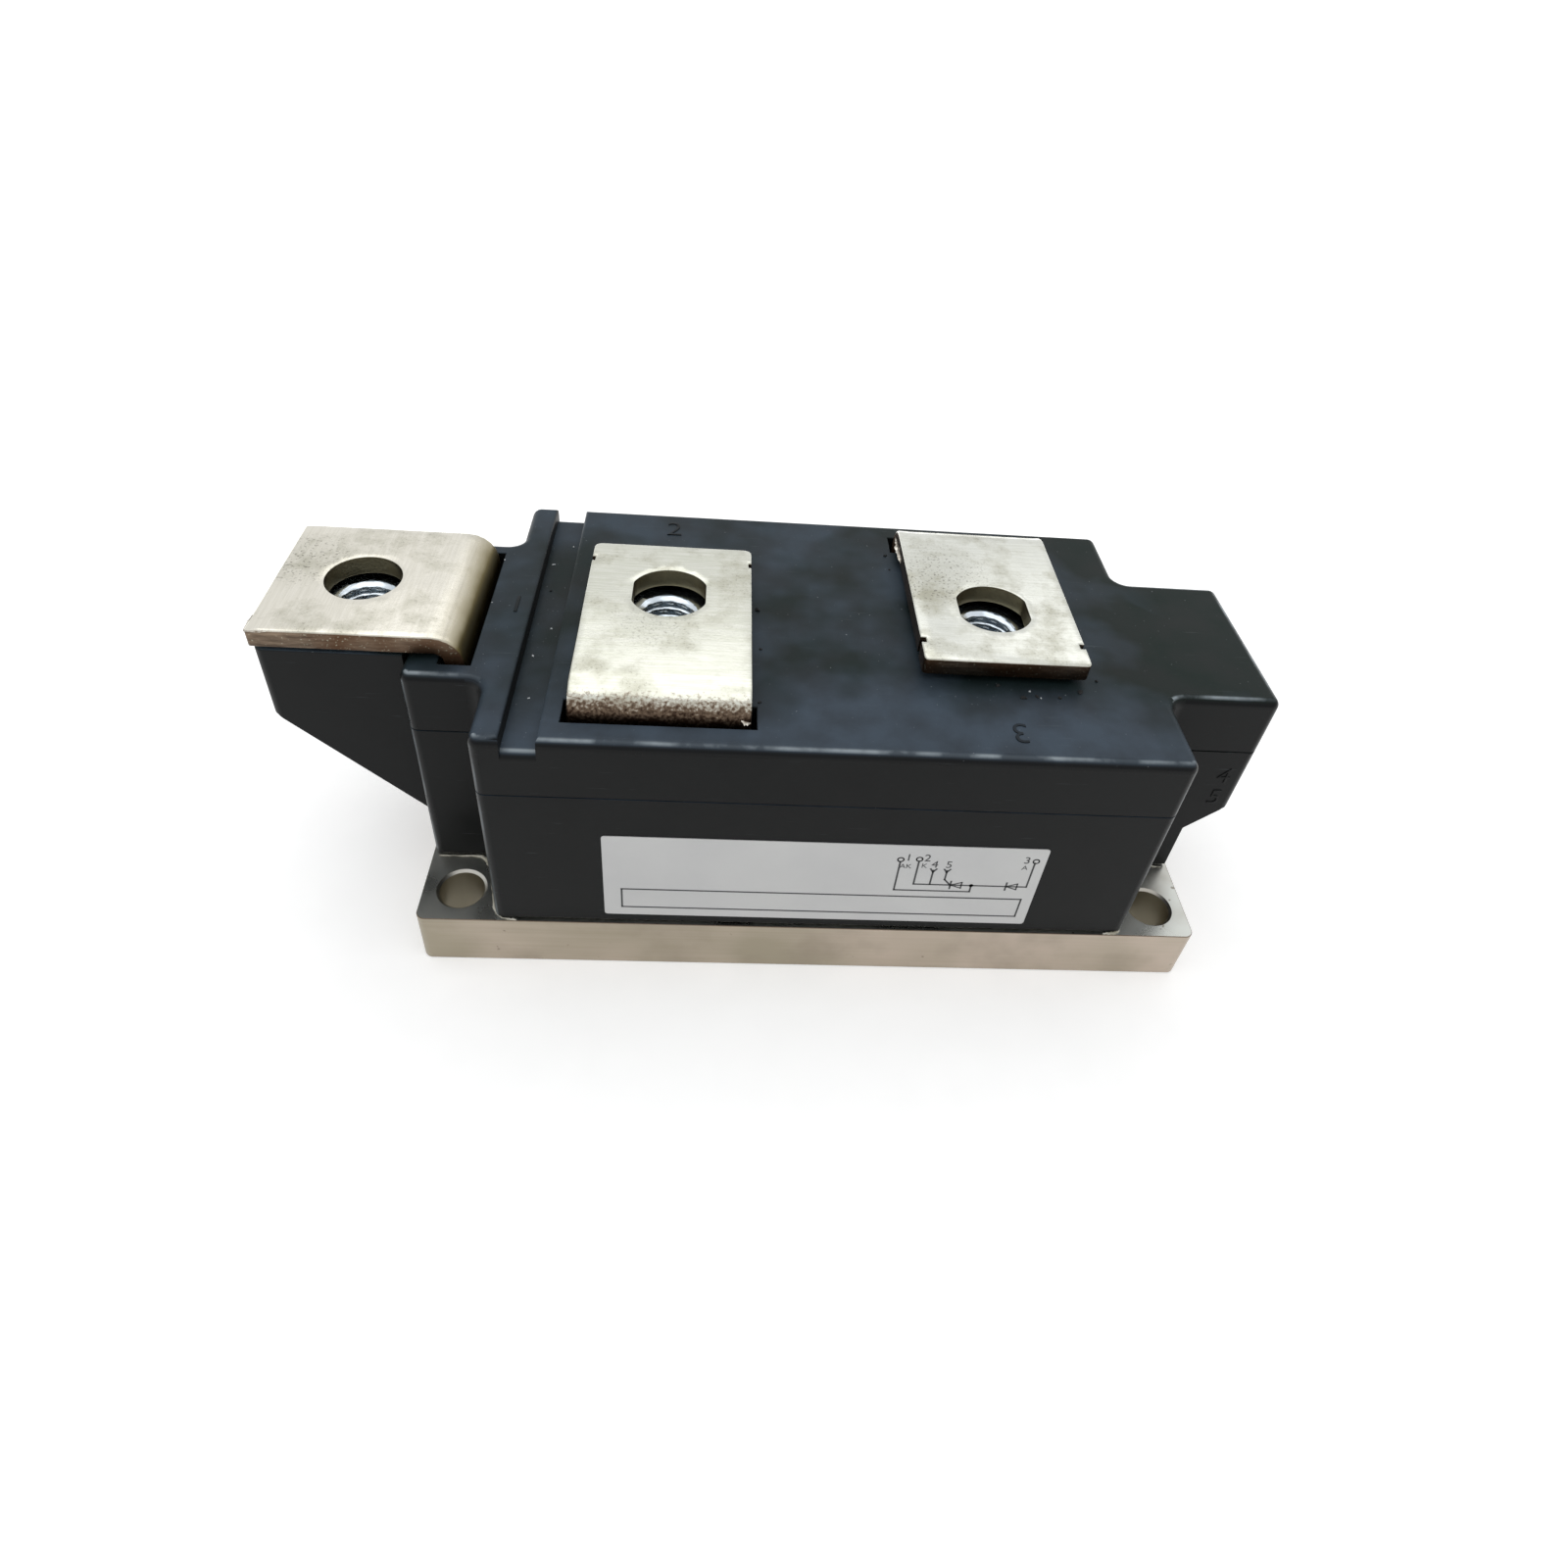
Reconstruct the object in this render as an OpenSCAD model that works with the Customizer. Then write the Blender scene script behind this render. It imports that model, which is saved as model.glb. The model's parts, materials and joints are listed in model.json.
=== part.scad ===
// Thyristor and diode module of the 60 mm class: a plated copper base, two clamped
// chip stacks, three bent bus bars with captive nuts and a two-part moulded housing.
// Millimetres. Origin: centre of the base's underside. +X points to the gate end, +Z up.

/* [Base plate] */
// Thickness of the copper base
base_t = 10; // [8:0.5:14]
// Radius of the base's upright corners
base_corner_r = 1.5; // [0.5:0.5:3]
// Diameter of the four mounting holes
hole_d = 7; // [5:0.1:8]
// Distance from a hole's axis to the two nearest edges of the base
hole_inset = 6; // [5.5:0.5:7]
// Chamfer at the mouth of each mounting hole
hole_chamfer = 0.4; // [0.2:0.1:0.8]
// Base that shows along the housing's long walls
base_rim = 0.5; // [0.3:0.1:2]
// Base that shows at each end, beyond the housing's feet
end_rim = 0.3; // [0.1:0.1:1]
// Length of the open notch over each mounting hole
notch_l = 12; // [11:0.5:16]

/* [Chips] */
// Diameter of the silicon wafers and the discs under them
wafer_d = 32; // [28:1:38]
// Thickness of the silicon wafers
wafer_t = 0.8; // [0.5:0.1:1.2]
// Thickness of the molybdenum discs under the wafers
disc_t = 2; // [1:0.5:3]
// Diameter of the contact discs on the wafers
contact_d = 24; // [20:1:28]
// Thickness of the contact discs on the wafers
contact_t = 1; // [0.5:0.1:2]
// Rim of the ceramic insulators beyond the wafers
insulator_rim = 4; // [3:0.5:6]
// Thickness of the ceramic insulators
insulator_t = 1.5; // [1:0.1:2.5]

/* [Clamps] */
// Gap between the two clamp yokes
yoke_space = 10; // [8:1:16]
// Thickness of the clamp yokes
yoke_t = 4; // [3:0.5:6]
// Corner radius of the clamp yokes
yoke_r = 3; // [1:0.5:3.5]
// Diameter of the clamp screws
screw_d = 4; // [3:0.5:5]
// Diameter of the screw heads
screw_head_d = 6.8; // [6:0.2:7]
// Height of the screw heads
screw_head_h = 2.6; // [2:0.2:4]
// Distance from a screw's axis to the yoke's edge
screw_edge = 3.5; // [3:0.5:6]
// How far the screws tuck in behind the insulator's rim
screw_tuck = 3.5; // [2:0.5:4]
// Depth of the screws in the base
screw_depth = 7; // [4:0.5:7]
// Clearance round the screws in the yokes
screw_gap = 0.25; // [0.1:0.05:0.5]
// Clearance round the screws in the base's tapped holes
thread_gap = 0.05; // [0.02:0.01:0.1]
// Disc springs in each stack
spring_n = 4; // [2:2:6]
// Outer diameter of the disc springs
spring_od = 25; // [20:0.5:28]
// Inner diameter of the disc springs
spring_id = 12.2; // [10:0.1:14]
// Thickness of the disc springs
spring_t = 0.75; // [0.5:0.05:1.2]
// Cone height of the disc springs
spring_cone = 0.35; // [0.2:0.05:0.6]
// Play between neighbouring disc springs
spring_play = 0.05; // [0.02:0.01:0.1]
// Diameter of the insulating pressure caps
cap_d = 26; // [22:1:27]
// Thickness of the pressure caps
cap_t = 5; // [4.5:0.5:8]
// Clearance between a cap's boss and the disc springs
cap_fit = 0.1; // [0.05:0.05:0.3]

/* [Gate contact] */
// Diameter of the gate pin
gate_pin_d = 2; // [1.5:0.1:2.4]
// Outer diameter of the insulating bush round the pin
gate_bush_d = 4.6; // [4:0.1:5]
// Clearance inside and outside the bush
gate_fit = 0.15; // [0.05:0.05:0.3]
// Wire diameter of the gate spring
gate_wire_d = 0.4; // [0.3:0.05:0.5]
// Turns of the gate spring
gate_turns = 4; // [3:1:5]

/* [Bus bars] */
// Thickness of the copper bus bars
bar_t = 3; // [2:0.25:4]
// Inner bend radius of the bus bars
bend_r = 1.5; // [1:0.25:3]
// Width of the two upper bars, which end in terminals 2 and 3
bar_w = 25; // [20:0.5:28]
// Width of the common bar, which ends in terminal 1
common_w = 27; // [22:0.5:30]
// Least gap between a bar and the clamp screws
bar_gap = 1; // [0.5:0.25:2]
// Gap between the yokes and the legs of the upper bars
leg_gap = 1.5; // [1:0.25:3]
// Gap between those legs and the housing's long walls
leg_wall_gap = 2; // [1.75:0.25:4]
// Distance of the common bar's leg from the main body
common_leg_off = 3; // [2:0.25:4]

/* [Terminals] */
// From the hole's axis to the free end, terminals 2 and 3
plate_end = 13; // [11:0.5:14]
// From the hole's axis to the free end, terminal 1
plate_1_end = 12.5; // [11:0.5:14]
// Hole in terminal 1
plate_1_hole_d = 11; // [10.5:0.1:12]
// Long way across the holes in terminals 2 and 3
plate_hole_l = 12; // [11.5:0.1:13]
// Distance between the flats of those holes
plate_hole_w = 11; // [10.5:0.1:11.4]
// Corner radius at the free ends
plate_corner_r = 1.5; // [0.5:0.25:3]
// Length of the small side notches of terminals 2 and 3
plate_notch_l = 1.2; // [0.6:0.2:2]
// Depth of the small side notches
plate_notch_d = 0.8; // [0.4:0.1:1]
// Distance of the side notches from the free end
plate_notch_off = 4.5; // [3:0.5:6]

/* [Nuts] */
// Width across the flats
nut_af = 16; // [13:1:17]
// Height of the nuts
nut_h = 8; // [6:0.2:9]
// Bore of the nuts, at the crests of the thread
nut_bore_d = 8.5; // [6.6:0.1:9]
// Width of the lead-in at each mouth of the bore
nut_lead_in = 0.95; // [0.5:0.05:1.2]
// Clearance between nut and pocket
nut_fit = 0.15; // [0.05:0.05:0.3]
// Play between nut and terminal plate
nut_play = 1; // [0.5:0.25:2]
// Room for the bolt's end below the nut
well_h = 2.5; // [1:0.5:4]
// Gap between nut 1 and the lid's end face
nut_side_gap = 0.3; // [0.2:0.1:1]

/* [Housing] */
// Thickness of the main walls
wall = 3; // [2:0.25:4]
// Thickness of the shoulder's walls
shoulder_wall = 2; // [1.75:0.25:3]
// Gap between the common bar's leg and the shoulder's side walls
shoulder_gap = 1.7; // [1.6:0.1:3]
// Radius of the outer edges
edge_r = 1.5; // [0.75:0.25:2]
// Radius of the inner corners at the notches
notch_r = 2.5; // [1:0.5:4]
// Thickness of the silicone bead on the base
seal_t = 0.3; // [0.1:0.05:0.6]
// Distance of the bead from the housing's outer faces
seal_inset = 0.6; // [0.3:0.1:1]
// Distance from the yokes to the nut pockets above them
boss_gap = 1.3; // [1:0.1:3]
// How far the nut pockets hang below the parting line
boss_drop = 1.5; // [0.5:0.25:3]
// Floor and side walls of the nut pockets
boss_wall = 1.5; // [1:0.25:2.5]

/* [Lid] */
// Thickness of the lid's top, measured under the groove
top_wall = 2.5; // [1.5:0.25:3]
// Height of the shadow line at the parting line
seam_h = 0.25; // [0.1:0.05:0.5]
// Depth of the shadow line
seam_d = 0.3; // [0.1:0.05:0.5]
// Height of the lip that centres the lid in the frame
lip_h = 2; // [1:0.25:3]
// Thickness of the lip
lip_t = 1.2; // [0.8:0.1:1.3]
// Clearance between lip and frame
lip_fit = 0.15; // [0.05:0.05:0.3]
// Width of the ridge at the left end of the top
ridge_w = 4.2; // [3:0.1:6]
// Width of the groove beside the ridge
groove_w = 4.85; // [3:0.05:5]
// Depth of the groove
groove_h = 2.3; // [1.5:0.1:3]
// Rounding along the groove's two edges
groove_edge_r = 0.6; // [0.3:0.1:1]
// Height of the pads that carry the terminal plates
pad_h = 1; // [0.6:0.1:2]
// Distance of the pads from the plates' edges
pad_inset = 1.5; // [1:0.25:2]
// Clearance of the bus bars in their slots
slot_gap = 0.8; // [0.4:0.1:1]

/* [Nose] */
// Height of the nose's top above the lid's top
nose_raise = 0.4; // [0.1:0.1:0.5]
// How far the nose stays back from the edges of terminal 1
nose_inset = 0.2; // [0.1:0.1:1]
// How far the nose's end face reaches below the parting line
nose_drop = 1; // [0.5:0.25:4]
// Gap between the nose and the lid
nose_gap = 0.1; // [0.05:0.05:0.2]

/* [Gate socket] */
// Width of each socket
socket_w = 9; // [8:0.5:10]
// Height of each socket
socket_h = 9.5; // [9:0.25:11]
// Depth of each socket
socket_depth = 8.1; // [7:0.1:9]
// Wall beside the sockets
socket_wall = 2.6; // [2:0.1:4]
// Wall between the sockets
socket_mid = 7; // [4:0.5:9]
// Wall behind the sockets
socket_back = 2; // [1.5:0.25:3]
// Wall between the sockets and the parting line
socket_roof = 1.5; // [1:0.25:3]
// Thickness of the sockets' lower lip
socket_lip = 0.9; // [0.6:0.1:2]
// Overhang of the end block beyond its foot
block_reach = 5.9; // [4.5:0.1:7]
// Width of the gate blades
tab_w = 2.8; // [2.8:1:4.8]
// Thickness of the gate blades
tab_t = 0.8; // [0.5:0.1:0.8]
// Distance between the two blades
tab_pitch = 5; // [4.8:0.1:5.5]
// How far the blades stay back from the end face
tab_recess = 1; // [0.5:0.25:2]
// Clearance of the blades in the wall
tab_fit = 0.05; // [0.02:0.01:0.1]
// Diameter of the hole in each blade
tab_hole_d = 1.2; // [0.8:0.1:1.4]

/* [Leads] */
// Diameter of the inner wires
lead_d = 1.4; // [1:0.1:1.6]
// Bend radius of the inner wires
lead_bend = 2; // [1:0.25:2]
// Height of the lower wire above the upper bars
lead_rise = 3.2; // [3:0.1:4]
// Height between the two wires
lead_step = 3.5; // [3:0.1:4]
// Gap between the cathode wire's foot and the pressure cap
lead_gap = 0.4; // [0.2:0.1:1]

/* [Label] */
// Width of the front label
label_w = 66; // [50:1:80]
// Height of the front label
label_h = 18; // [12:0.5:22]
// Thickness of the front label
label_t = 0.15; // [0.1:0.05:0.25]
// Height of the label above the base
label_up = 2; // [1:0.5:4]

/* [Hidden] */
$fn = 64;
// Overcut of the cutting bodies
over = 0.5;
// Circle segments of the swept gate spring
helix_sides = 8;
helix_steps = 12;

// Clamp layout, from the chips outwards
insulator_d = wafer_d + 2 * insulator_rim;
screw_off = max(insulator_d / 2 - screw_tuck, max(bar_w, common_w) / 2 + bar_gap + screw_d / 2);
yoke_w = 2 * (screw_off + screw_edge);
chip_x = (yoke_w + yoke_space) / 2;
leg_y = yoke_w / 2 + leg_gap;

// Housing in plan
body_l = 2 * chip_x + yoke_w + 2 * (leg_wall_gap + wall);
body_w = 2 * (leg_y + bar_t + leg_wall_gap + wall);
base_l = body_l + 2 * notch_l;
base_w = body_w + 2 * base_rim;
foot_x = base_l / 2 - end_rim;
shoulder_w = common_w + 2 * (shoulder_gap + shoulder_wall);
block_w = 2 * (socket_w + socket_wall) + socket_mid;
block_x = foot_x + block_reach;
socket_x = block_x - socket_depth;
socket_y = (socket_w + socket_mid) / 2;

// Levels of the chip stack, the parting line and the terminals
z_seal = base_t + seal_t;
z_common = base_t + insulator_t;
z_disc = z_common + bar_t;
z_wafer = z_disc + disc_t;
z_contact = z_wafer + wafer_t;
z_bar = z_contact + contact_t;
z_cap = z_bar + bar_t;
z_spring = z_cap + cap_t;
z_yoke = z_spring + spring_n * (spring_t + spring_cone);
z_head = z_yoke + yoke_t;
z_boss = z_head + boss_gap;
z_part = z_boss + boss_drop;
z_well = z_boss + boss_wall;
z_nut = z_well + well_h;
z_seat = z_nut + nut_h + nut_play;
z_lid = z_seat - pad_h;
z_tip = z_seat + bar_t;

// Bus bars and terminals
bend_o = bend_r + bar_t;
bar_reach = contact_d / 2 + 1;
common_end = chip_x + wafer_d / 2;
common_leg_x = body_l / 2 + common_leg_off;
plate_1_x = foot_x + nut_side_gap + nut_af / 2;
plate_1_tip = plate_1_x + plate_1_end;
nut_corner_d = nut_af / cos(30);
pocket_d = (nut_af + 2 * nut_fit) / cos(30);

// Lid, nose and sockets
groove_x = -body_l / 2 + ridge_w;
z_groove = z_lid - groove_h;
z_ceiling = z_groove - top_wall;
nose_w = common_w - nose_inset;
nose_x = plate_1_tip - nose_inset;
z_nose = z_lid + nose_raise;
z_nose_low = z_part - nose_drop;
z_socket = z_part - socket_roof - socket_h;
z_slope = z_socket - socket_lip - block_reach;
z_tab_low = z_socket + (socket_h - tab_pitch) / 2;
z_tab_high = z_tab_low + tab_pitch;

// Pressure cap and gate contact
cap_boss_d = spring_id - 2 * cap_fit;
cap_boss_gap = 0.5;
cap_roof = 1.7;
cap_bore_d = 6;
cap_groove_w = 4;
cap_groove_h = 4;
z_cap_boss = z_yoke - cap_boss_gap;
z_cap_roof = z_cap_boss - cap_roof;
gate_collar_d = 4.8;
gate_collar_t = 0.8;
gate_flag_t = 1.4;
gate_flag_l = 2.7;
gate_coil_d = 3.8;
gate_wire_up = 1.6;
gate_collar_up = 2.6;
z_gate_wire = z_cap + gate_wire_up;
z_collar = z_cap + gate_collar_up;
z_coil = z_collar + gate_collar_t;

// Routes of the inner wires, along the front channel and into the end block
lead_front_y = -(yoke_w / 2 + body_w / 2 - wall) / 2;
lead_end_x = body_l / 2 - wall - 1.2 * lead_d;
z_lead_low = z_cap + lead_rise;
z_lead_high = z_lead_low + lead_step;
tab_tail = 0.8;
tab_step = 4.7;
tab_root_low = socket_x - socket_back - tab_tail;
tab_root_high = tab_root_low - tab_step;
turn_gap = 0.2;
turn_low = tab_root_low - lead_bend - turn_gap;
turn_high = tab_root_high - lead_bend - turn_gap;
// The cathode wire's foot stands at the bar's edge, clear of the cap, on a fine grid
foot_grid = 0.05;
foot_in = bar_w / 2 - 1.15 * lead_d;
foot_out = cap_d / 2 + lead_gap + lead_d / 2;
foot_off = max(cap_groove_w, sqrt(max(0, pow(foot_out, 2) - pow(foot_in, 2))));
foot_lead_x = -chip_x + foot_in;
foot_lead_y = -ceil(foot_off / foot_grid) * foot_grid;
gate_route = [
    [-chip_x + gate_flag_l, 0, z_gate_wire],
    [-yoke_space / 4, 0, z_gate_wire],
    [-yoke_space / 4, 0, z_lead_high],
    [-yoke_space / 4, lead_front_y, z_lead_high],
    [lead_end_x, lead_front_y, z_lead_high],
    [lead_end_x, -socket_y, z_lead_high],
    [turn_high, -socket_y, z_lead_high],
    [turn_high, -socket_y, z_tab_high],
    [tab_root_high, -socket_y, z_tab_high]
];
cathode_route = [
    [foot_lead_x, foot_lead_y, z_cap],
    [foot_lead_x, foot_lead_y, z_lead_low],
    [yoke_space / 4, foot_lead_y, z_lead_low],
    [yoke_space / 4, lead_front_y, z_lead_low],
    [lead_end_x, lead_front_y, z_lead_low],
    [lead_end_x, -socket_y, z_lead_low],
    [turn_low, -socket_y, z_lead_low],
    [turn_low, -socket_y, z_tab_low],
    [tab_root_low, -socket_y, z_tab_low]
];

// Corners of the housing's plan, counter-clockwise: x, y, radius, 1 outer or -1 inner
housing_corners = [
    [body_l / 2, -body_w / 2, edge_r, 1],
    [body_l / 2, -block_w / 2, notch_r, -1],
    [block_x, -block_w / 2, edge_r, 1],
    [block_x, block_w / 2, edge_r, 1],
    [body_l / 2, block_w / 2, notch_r, -1],
    [body_l / 2, body_w / 2, edge_r, 1],
    [-body_l / 2, body_w / 2, edge_r, 1],
    [-body_l / 2, shoulder_w / 2, notch_r, -1],
    [-foot_x, shoulder_w / 2, edge_r, 1],
    [-foot_x, -shoulder_w / 2, edge_r, 1],
    [-body_l / 2, -shoulder_w / 2, notch_r, -1],
    [-body_l / 2, -body_w / 2, edge_r, 1]
];
base_corners = [
    [base_l / 2, -base_w / 2, base_corner_r, 1],
    [base_l / 2, base_w / 2, base_corner_r, 1],
    [-base_l / 2, base_w / 2, base_corner_r, 1],
    [-base_l / 2, -base_w / 2, base_corner_r, 1]
];

// Finishes
moulded_black = "#33383b";
plated_copper = "#d6d3c9";
plated_base = "#b4a999";
zinc = "#c3ccd2";
ceramic = "#e8e6dd";
silicon = "#55585f";
molybdenum = "#8f9498";
spring_steel = "#7d8083";
pale_plastic = "#c9c2a8";

function flat(c) = [c[0], c[1]];
function unit(v) = v / norm(v);
function arriving(list, i) = unit(flat(list[i]) - flat(list[(i + len(list) - 1) % len(list)]));
function leaving(list, i) = unit(flat(list[(i + 1) % len(list)]) - flat(list[i]));
// From a corner towards the centre of its rounding
function to_centre(list, i) = leaving(list, i) - arriving(list, i);

// A block given by its lowest and highest corner
module span(low, high) {
    translate(low)
        cube(high - low);
}

// The sliver between a square corner and its rounding
module corner_bit(corner, dir, r) {
    difference() {
        translate(corner + [dir[0] > 0 ? -over : -r, dir[1] > 0 ? -over : -r])
            square(r + over);
        translate(corner + r * dir)
            circle(r);
    }
}

// A square-cornered outline with rounded corners, drawn in by an inset
module rounded_plan(list, inset = 0) {
    shifted = [for (i = [0:len(list) - 1]) flat(list[i]) + list[i][3] * inset * to_centre(list, i)];
    radii = [for (c = list) c[2] - c[3] * inset];
    difference() {
        union() {
            polygon(shifted);
            for (i = [0:len(list) - 1])
                if (list[i][3] < 0)
                    corner_bit(shifted[i], to_centre(list, i), radii[i]);
        }
        for (i = [0:len(list) - 1])
            if (list[i][3] > 0)
                corner_bit(shifted[i], to_centre(list, i), radii[i]);
    }
}

// Cutter that rounds a straight top edge: runs along +X, with the wall on its left
module edge_cutter(length, r) {
    rotate([90, 0, 90])
        linear_extrude(length)
            difference() {
                translate([-over, -r])
                    square(r + over);
                translate([r, -r])
                    circle(r);
            }
}

// Cutter that carries the rounding of a top edge round a corner of radius corner_r
module corner_cutter(corner_r, side, r) {
    rotate_extrude(angle = 90)
        difference() {
            translate([side > 0 ? corner_r - r : corner_r - over, -r])
                square(r + over);
            translate([corner_r - side * r, -r])
                circle(r);
        }
}

// Cutters for the whole top edge of an outline
module top_round(list, z, r) {
    for (i = [0:len(list) - 1]) {
        a = list[i];
        n = (i + 1) % len(list);
        b = list[n];
        turn = atan2(b[1] - a[1], b[0] - a[0]);
        translate([a[0], a[1], z])
            rotate(turn)
                translate([a[2], 0, 0])
                    edge_cutter(norm(flat(b) - flat(a)) - a[2] - b[2], r);
        centre = flat(b) + b[2] * to_centre(list, n);
        translate([centre[0], centre[1], z])
            rotate(b[3] > 0 ? turn - 90 : turn)
                corner_cutter(b[2], b[3], r);
    }
}

module at_thyristor() {
    translate([-chip_x, 0, 0])
        children();
}

module at_diode() {
    translate([chip_x, 0, 0])
        children();
}

// The four clamp screws' places round a stack's axis
module at_screws() {
    for (x = [-screw_off, screw_off], y = [-screw_off, screw_off])
        translate([x, y, 0])
            children();
}

module ring(outer_d, inner_d, height) {
    difference() {
        cylinder(d = outer_d, h = height);
        translate([0, 0, -over])
            cylinder(d = inner_d, h = height + 2 * over);
    }
}

module base_plate() {
    color(plated_base)
        difference() {
            linear_extrude(base_t)
                rounded_plan(base_corners);
            for (x = [-1, 1], y = [-1, 1])
                translate([x * (base_l / 2 - hole_inset), y * (base_w / 2 - hole_inset), 0]) {
                    translate([0, 0, -over])
                        cylinder(d = hole_d, h = base_t + 2 * over);
                    translate([0, 0, base_t - hole_chamfer])
                        cylinder(d1 = hole_d, d2 = hole_d + 2 * hole_chamfer, h = hole_chamfer);
                }
            for (x = [-chip_x, chip_x])
                translate([x, 0, base_t - screw_depth - over])
                    at_screws()
                        cylinder(d = screw_d + 2 * thread_gap, h = screw_depth + 2 * over);
        }
}

// The hollow inside the housing, in plan
module cavity_plan(inset = 0) {
    main_x = body_l / 2 - wall - inset;
    main_y = body_w / 2 - wall - inset;
    left_x = foot_x - shoulder_wall - inset;
    left_y = shoulder_w / 2 - shoulder_wall - inset;
    right_x = socket_x - socket_back - inset;
    right_y = block_w / 2 - wall - inset;
    translate([-main_x, -main_y])
        square([2 * main_x, 2 * main_y]);
    translate([-left_x, -left_y])
        square([left_x, 2 * left_y]);
    translate([0, -right_y])
        square([right_x, 2 * right_y]);
}

module base_seal() {
    color("#d9d6cf")
        translate([0, 0, base_t])
            linear_extrude(seal_t)
                difference() {
                    intersection() {
                        rounded_plan(housing_corners, seal_inset);
                        square([2 * (foot_x - seal_inset), base_w], center = true);
                    }
                    cavity_plan(-seal_inset);
                }
}

// Hexagonal pocket with room below the nut, cut down from above the pads
module nut_pocket() {
    translate([0, 0, z_nut])
        rotate(30)
            cylinder(d = pocket_d, h = z_tip - z_nut, $fn = 6);
    translate([0, 0, z_well])
        cylinder(d = plate_1_hole_d, h = z_nut - z_well + over);
}

// The overhang that carries terminal 1, with its sloped underside
module nose() {
    wall_x = -foot_x + shoulder_wall / 2;
    difference() {
        rotate([90, 0, 0])
            linear_extrude(nose_w, center = true)
                polygon([
                    [-nose_x, z_nose],
                    [-foot_x - nose_gap, z_nose],
                    [-foot_x - nose_gap, z_part],
                    [wall_x, z_part],
                    [wall_x, z_nose_low - nose_x - wall_x],
                    [-nose_x, z_nose_low]
                ]);
        for (side = [-1, 1])
            linear_extrude(z_tip)
                corner_bit([-nose_x, side * nose_w / 2], [1, -side], edge_r);
    }
    span([-nose_x + pad_inset, -nose_w / 2 + pad_inset, z_nose - over],
        [-foot_x - pad_inset, nose_w / 2 - pad_inset, z_seat]);
}

// Wedge that leaves the end block's sloped underside above its foot
module block_undercut() {
    reach = block_reach + over;
    rotate([90, 0, 0])
        linear_extrude(block_w + 2 * over, center = true)
            polygon([
                [foot_x, z_seal - over],
                [foot_x + reach, z_seal - over],
                [foot_x + reach, z_slope + reach],
                [foot_x, z_slope]
            ]);
}

// The two sockets in the end face, and the slits that hold the blades
module socket_cuts() {
    for (side = [-1, 1])
        translate([socket_x, side * socket_y - socket_w / 2, z_socket])
            cube([socket_depth + over, socket_w, socket_h]);
    slit_w = tab_w + 2 * tab_fit;
    slit_t = tab_t + 2 * tab_fit;
    for (z = [z_tab_low, z_tab_high])
        translate([socket_x - socket_back - over, -socket_y - slit_w / 2, z - slit_t / 2])
            cube([socket_back + 2 * over, slit_w, slit_t]);
}

module housing_frame() {
    color(moulded_black)
        difference() {
            union() {
                translate([0, 0, z_seal])
                    linear_extrude(z_part - z_seal)
                        rounded_plan(housing_corners);
                nose();
            }
            translate([0, 0, z_seal - over])
                linear_extrude(z_part - z_seal + 2 * over)
                    cavity_plan();
            block_undercut();
            socket_cuts();
            translate([-plate_1_x, 0, 0])
                nut_pocket();
            span([-plate_1_x, -nut_af / 4, z_nut], [-foot_x, nut_af / 4, z_tip]);
        }
}

module lid_shell() {
    translate([0, 0, z_part])
        linear_extrude(seam_h + over)
            rounded_plan(housing_corners, seam_d);
    difference() {
        translate([0, 0, z_part + seam_h])
            linear_extrude(z_lid - z_part - seam_h)
                rounded_plan(housing_corners);
        top_round(housing_corners, z_lid, edge_r);
        span([groove_x, -body_w / 2 - over, z_groove], [groove_x + groove_w, body_w / 2 + over, z_tip]);
        translate([groove_x, -body_w / 2, z_groove])
            edge_cutter(groove_w, edge_r);
        translate([groove_x + groove_w, body_w / 2, z_groove])
            rotate(180)
                edge_cutter(groove_w, edge_r);
        translate([groove_x, -body_w / 2 - over, z_lid])
            rotate(90)
                edge_cutter(body_w + 2 * over, groove_edge_r);
        translate([groove_x + groove_w, body_w / 2 + over, z_lid])
            rotate(-90)
                edge_cutter(body_w + 2 * over, groove_edge_r);
    }
}

// Hollow underside of the lid, up to its ceiling
module lid_hollow() {
    translate([0, 0, z_part - over])
        linear_extrude(z_ceiling - z_part + over)
            cavity_plan(lip_fit + lip_t);
}

// Lip that reaches down into the frame
module lid_lip() {
    translate([0, 0, z_part - lip_h])
        linear_extrude(lip_h + over)
            difference() {
                cavity_plan(lip_fit);
                cavity_plan(lip_fit + lip_t);
            }
}

// Boss that holds the nut pocket of terminals 2 and 3
module nut_boss() {
    translate([0, 0, z_boss])
        cylinder(d = pocket_d + 2 * boss_wall, h = z_lid - z_boss - over);
}

// Raised pad under a plate of terminals 2 and 3, in the thyristor's place
module plate_pad() {
    span([-bar_w / 2 + pad_inset, -leg_y + bend_r, z_lid - over],
        [bar_w / 2 - pad_inset, plate_end - pad_inset, z_seat]);
}

// Slot for the leg of an upper bar, in the thyristor's place
module leg_slot() {
    span([-bar_w / 2 - slot_gap, -leg_y - bar_t - slot_gap, z_boss],
        [bar_w / 2 + slot_gap, -leg_y + slot_gap, z_tip]);
}

module housing_lid() {
    color(moulded_black)
        difference() {
            union() {
                difference() {
                    lid_shell();
                    lid_hollow();
                }
                lid_lip();
                at_thyristor() {
                    nut_boss();
                    plate_pad();
                }
                at_diode()
                    rotate(180) {
                        nut_boss();
                        plate_pad();
                    }
            }
            at_thyristor()
                leg_slot();
            at_diode()
                rotate(180)
                    leg_slot();
            span([-common_leg_x - bar_t - slot_gap, -common_w / 2 - slot_gap, z_ceiling - over],
                [-common_leg_x + slot_gap, common_w / 2 + slot_gap, z_tip]);
            for (x = [-chip_x, chip_x])
                translate([x, 0, 0])
                    nut_pocket();
        }
}

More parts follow.
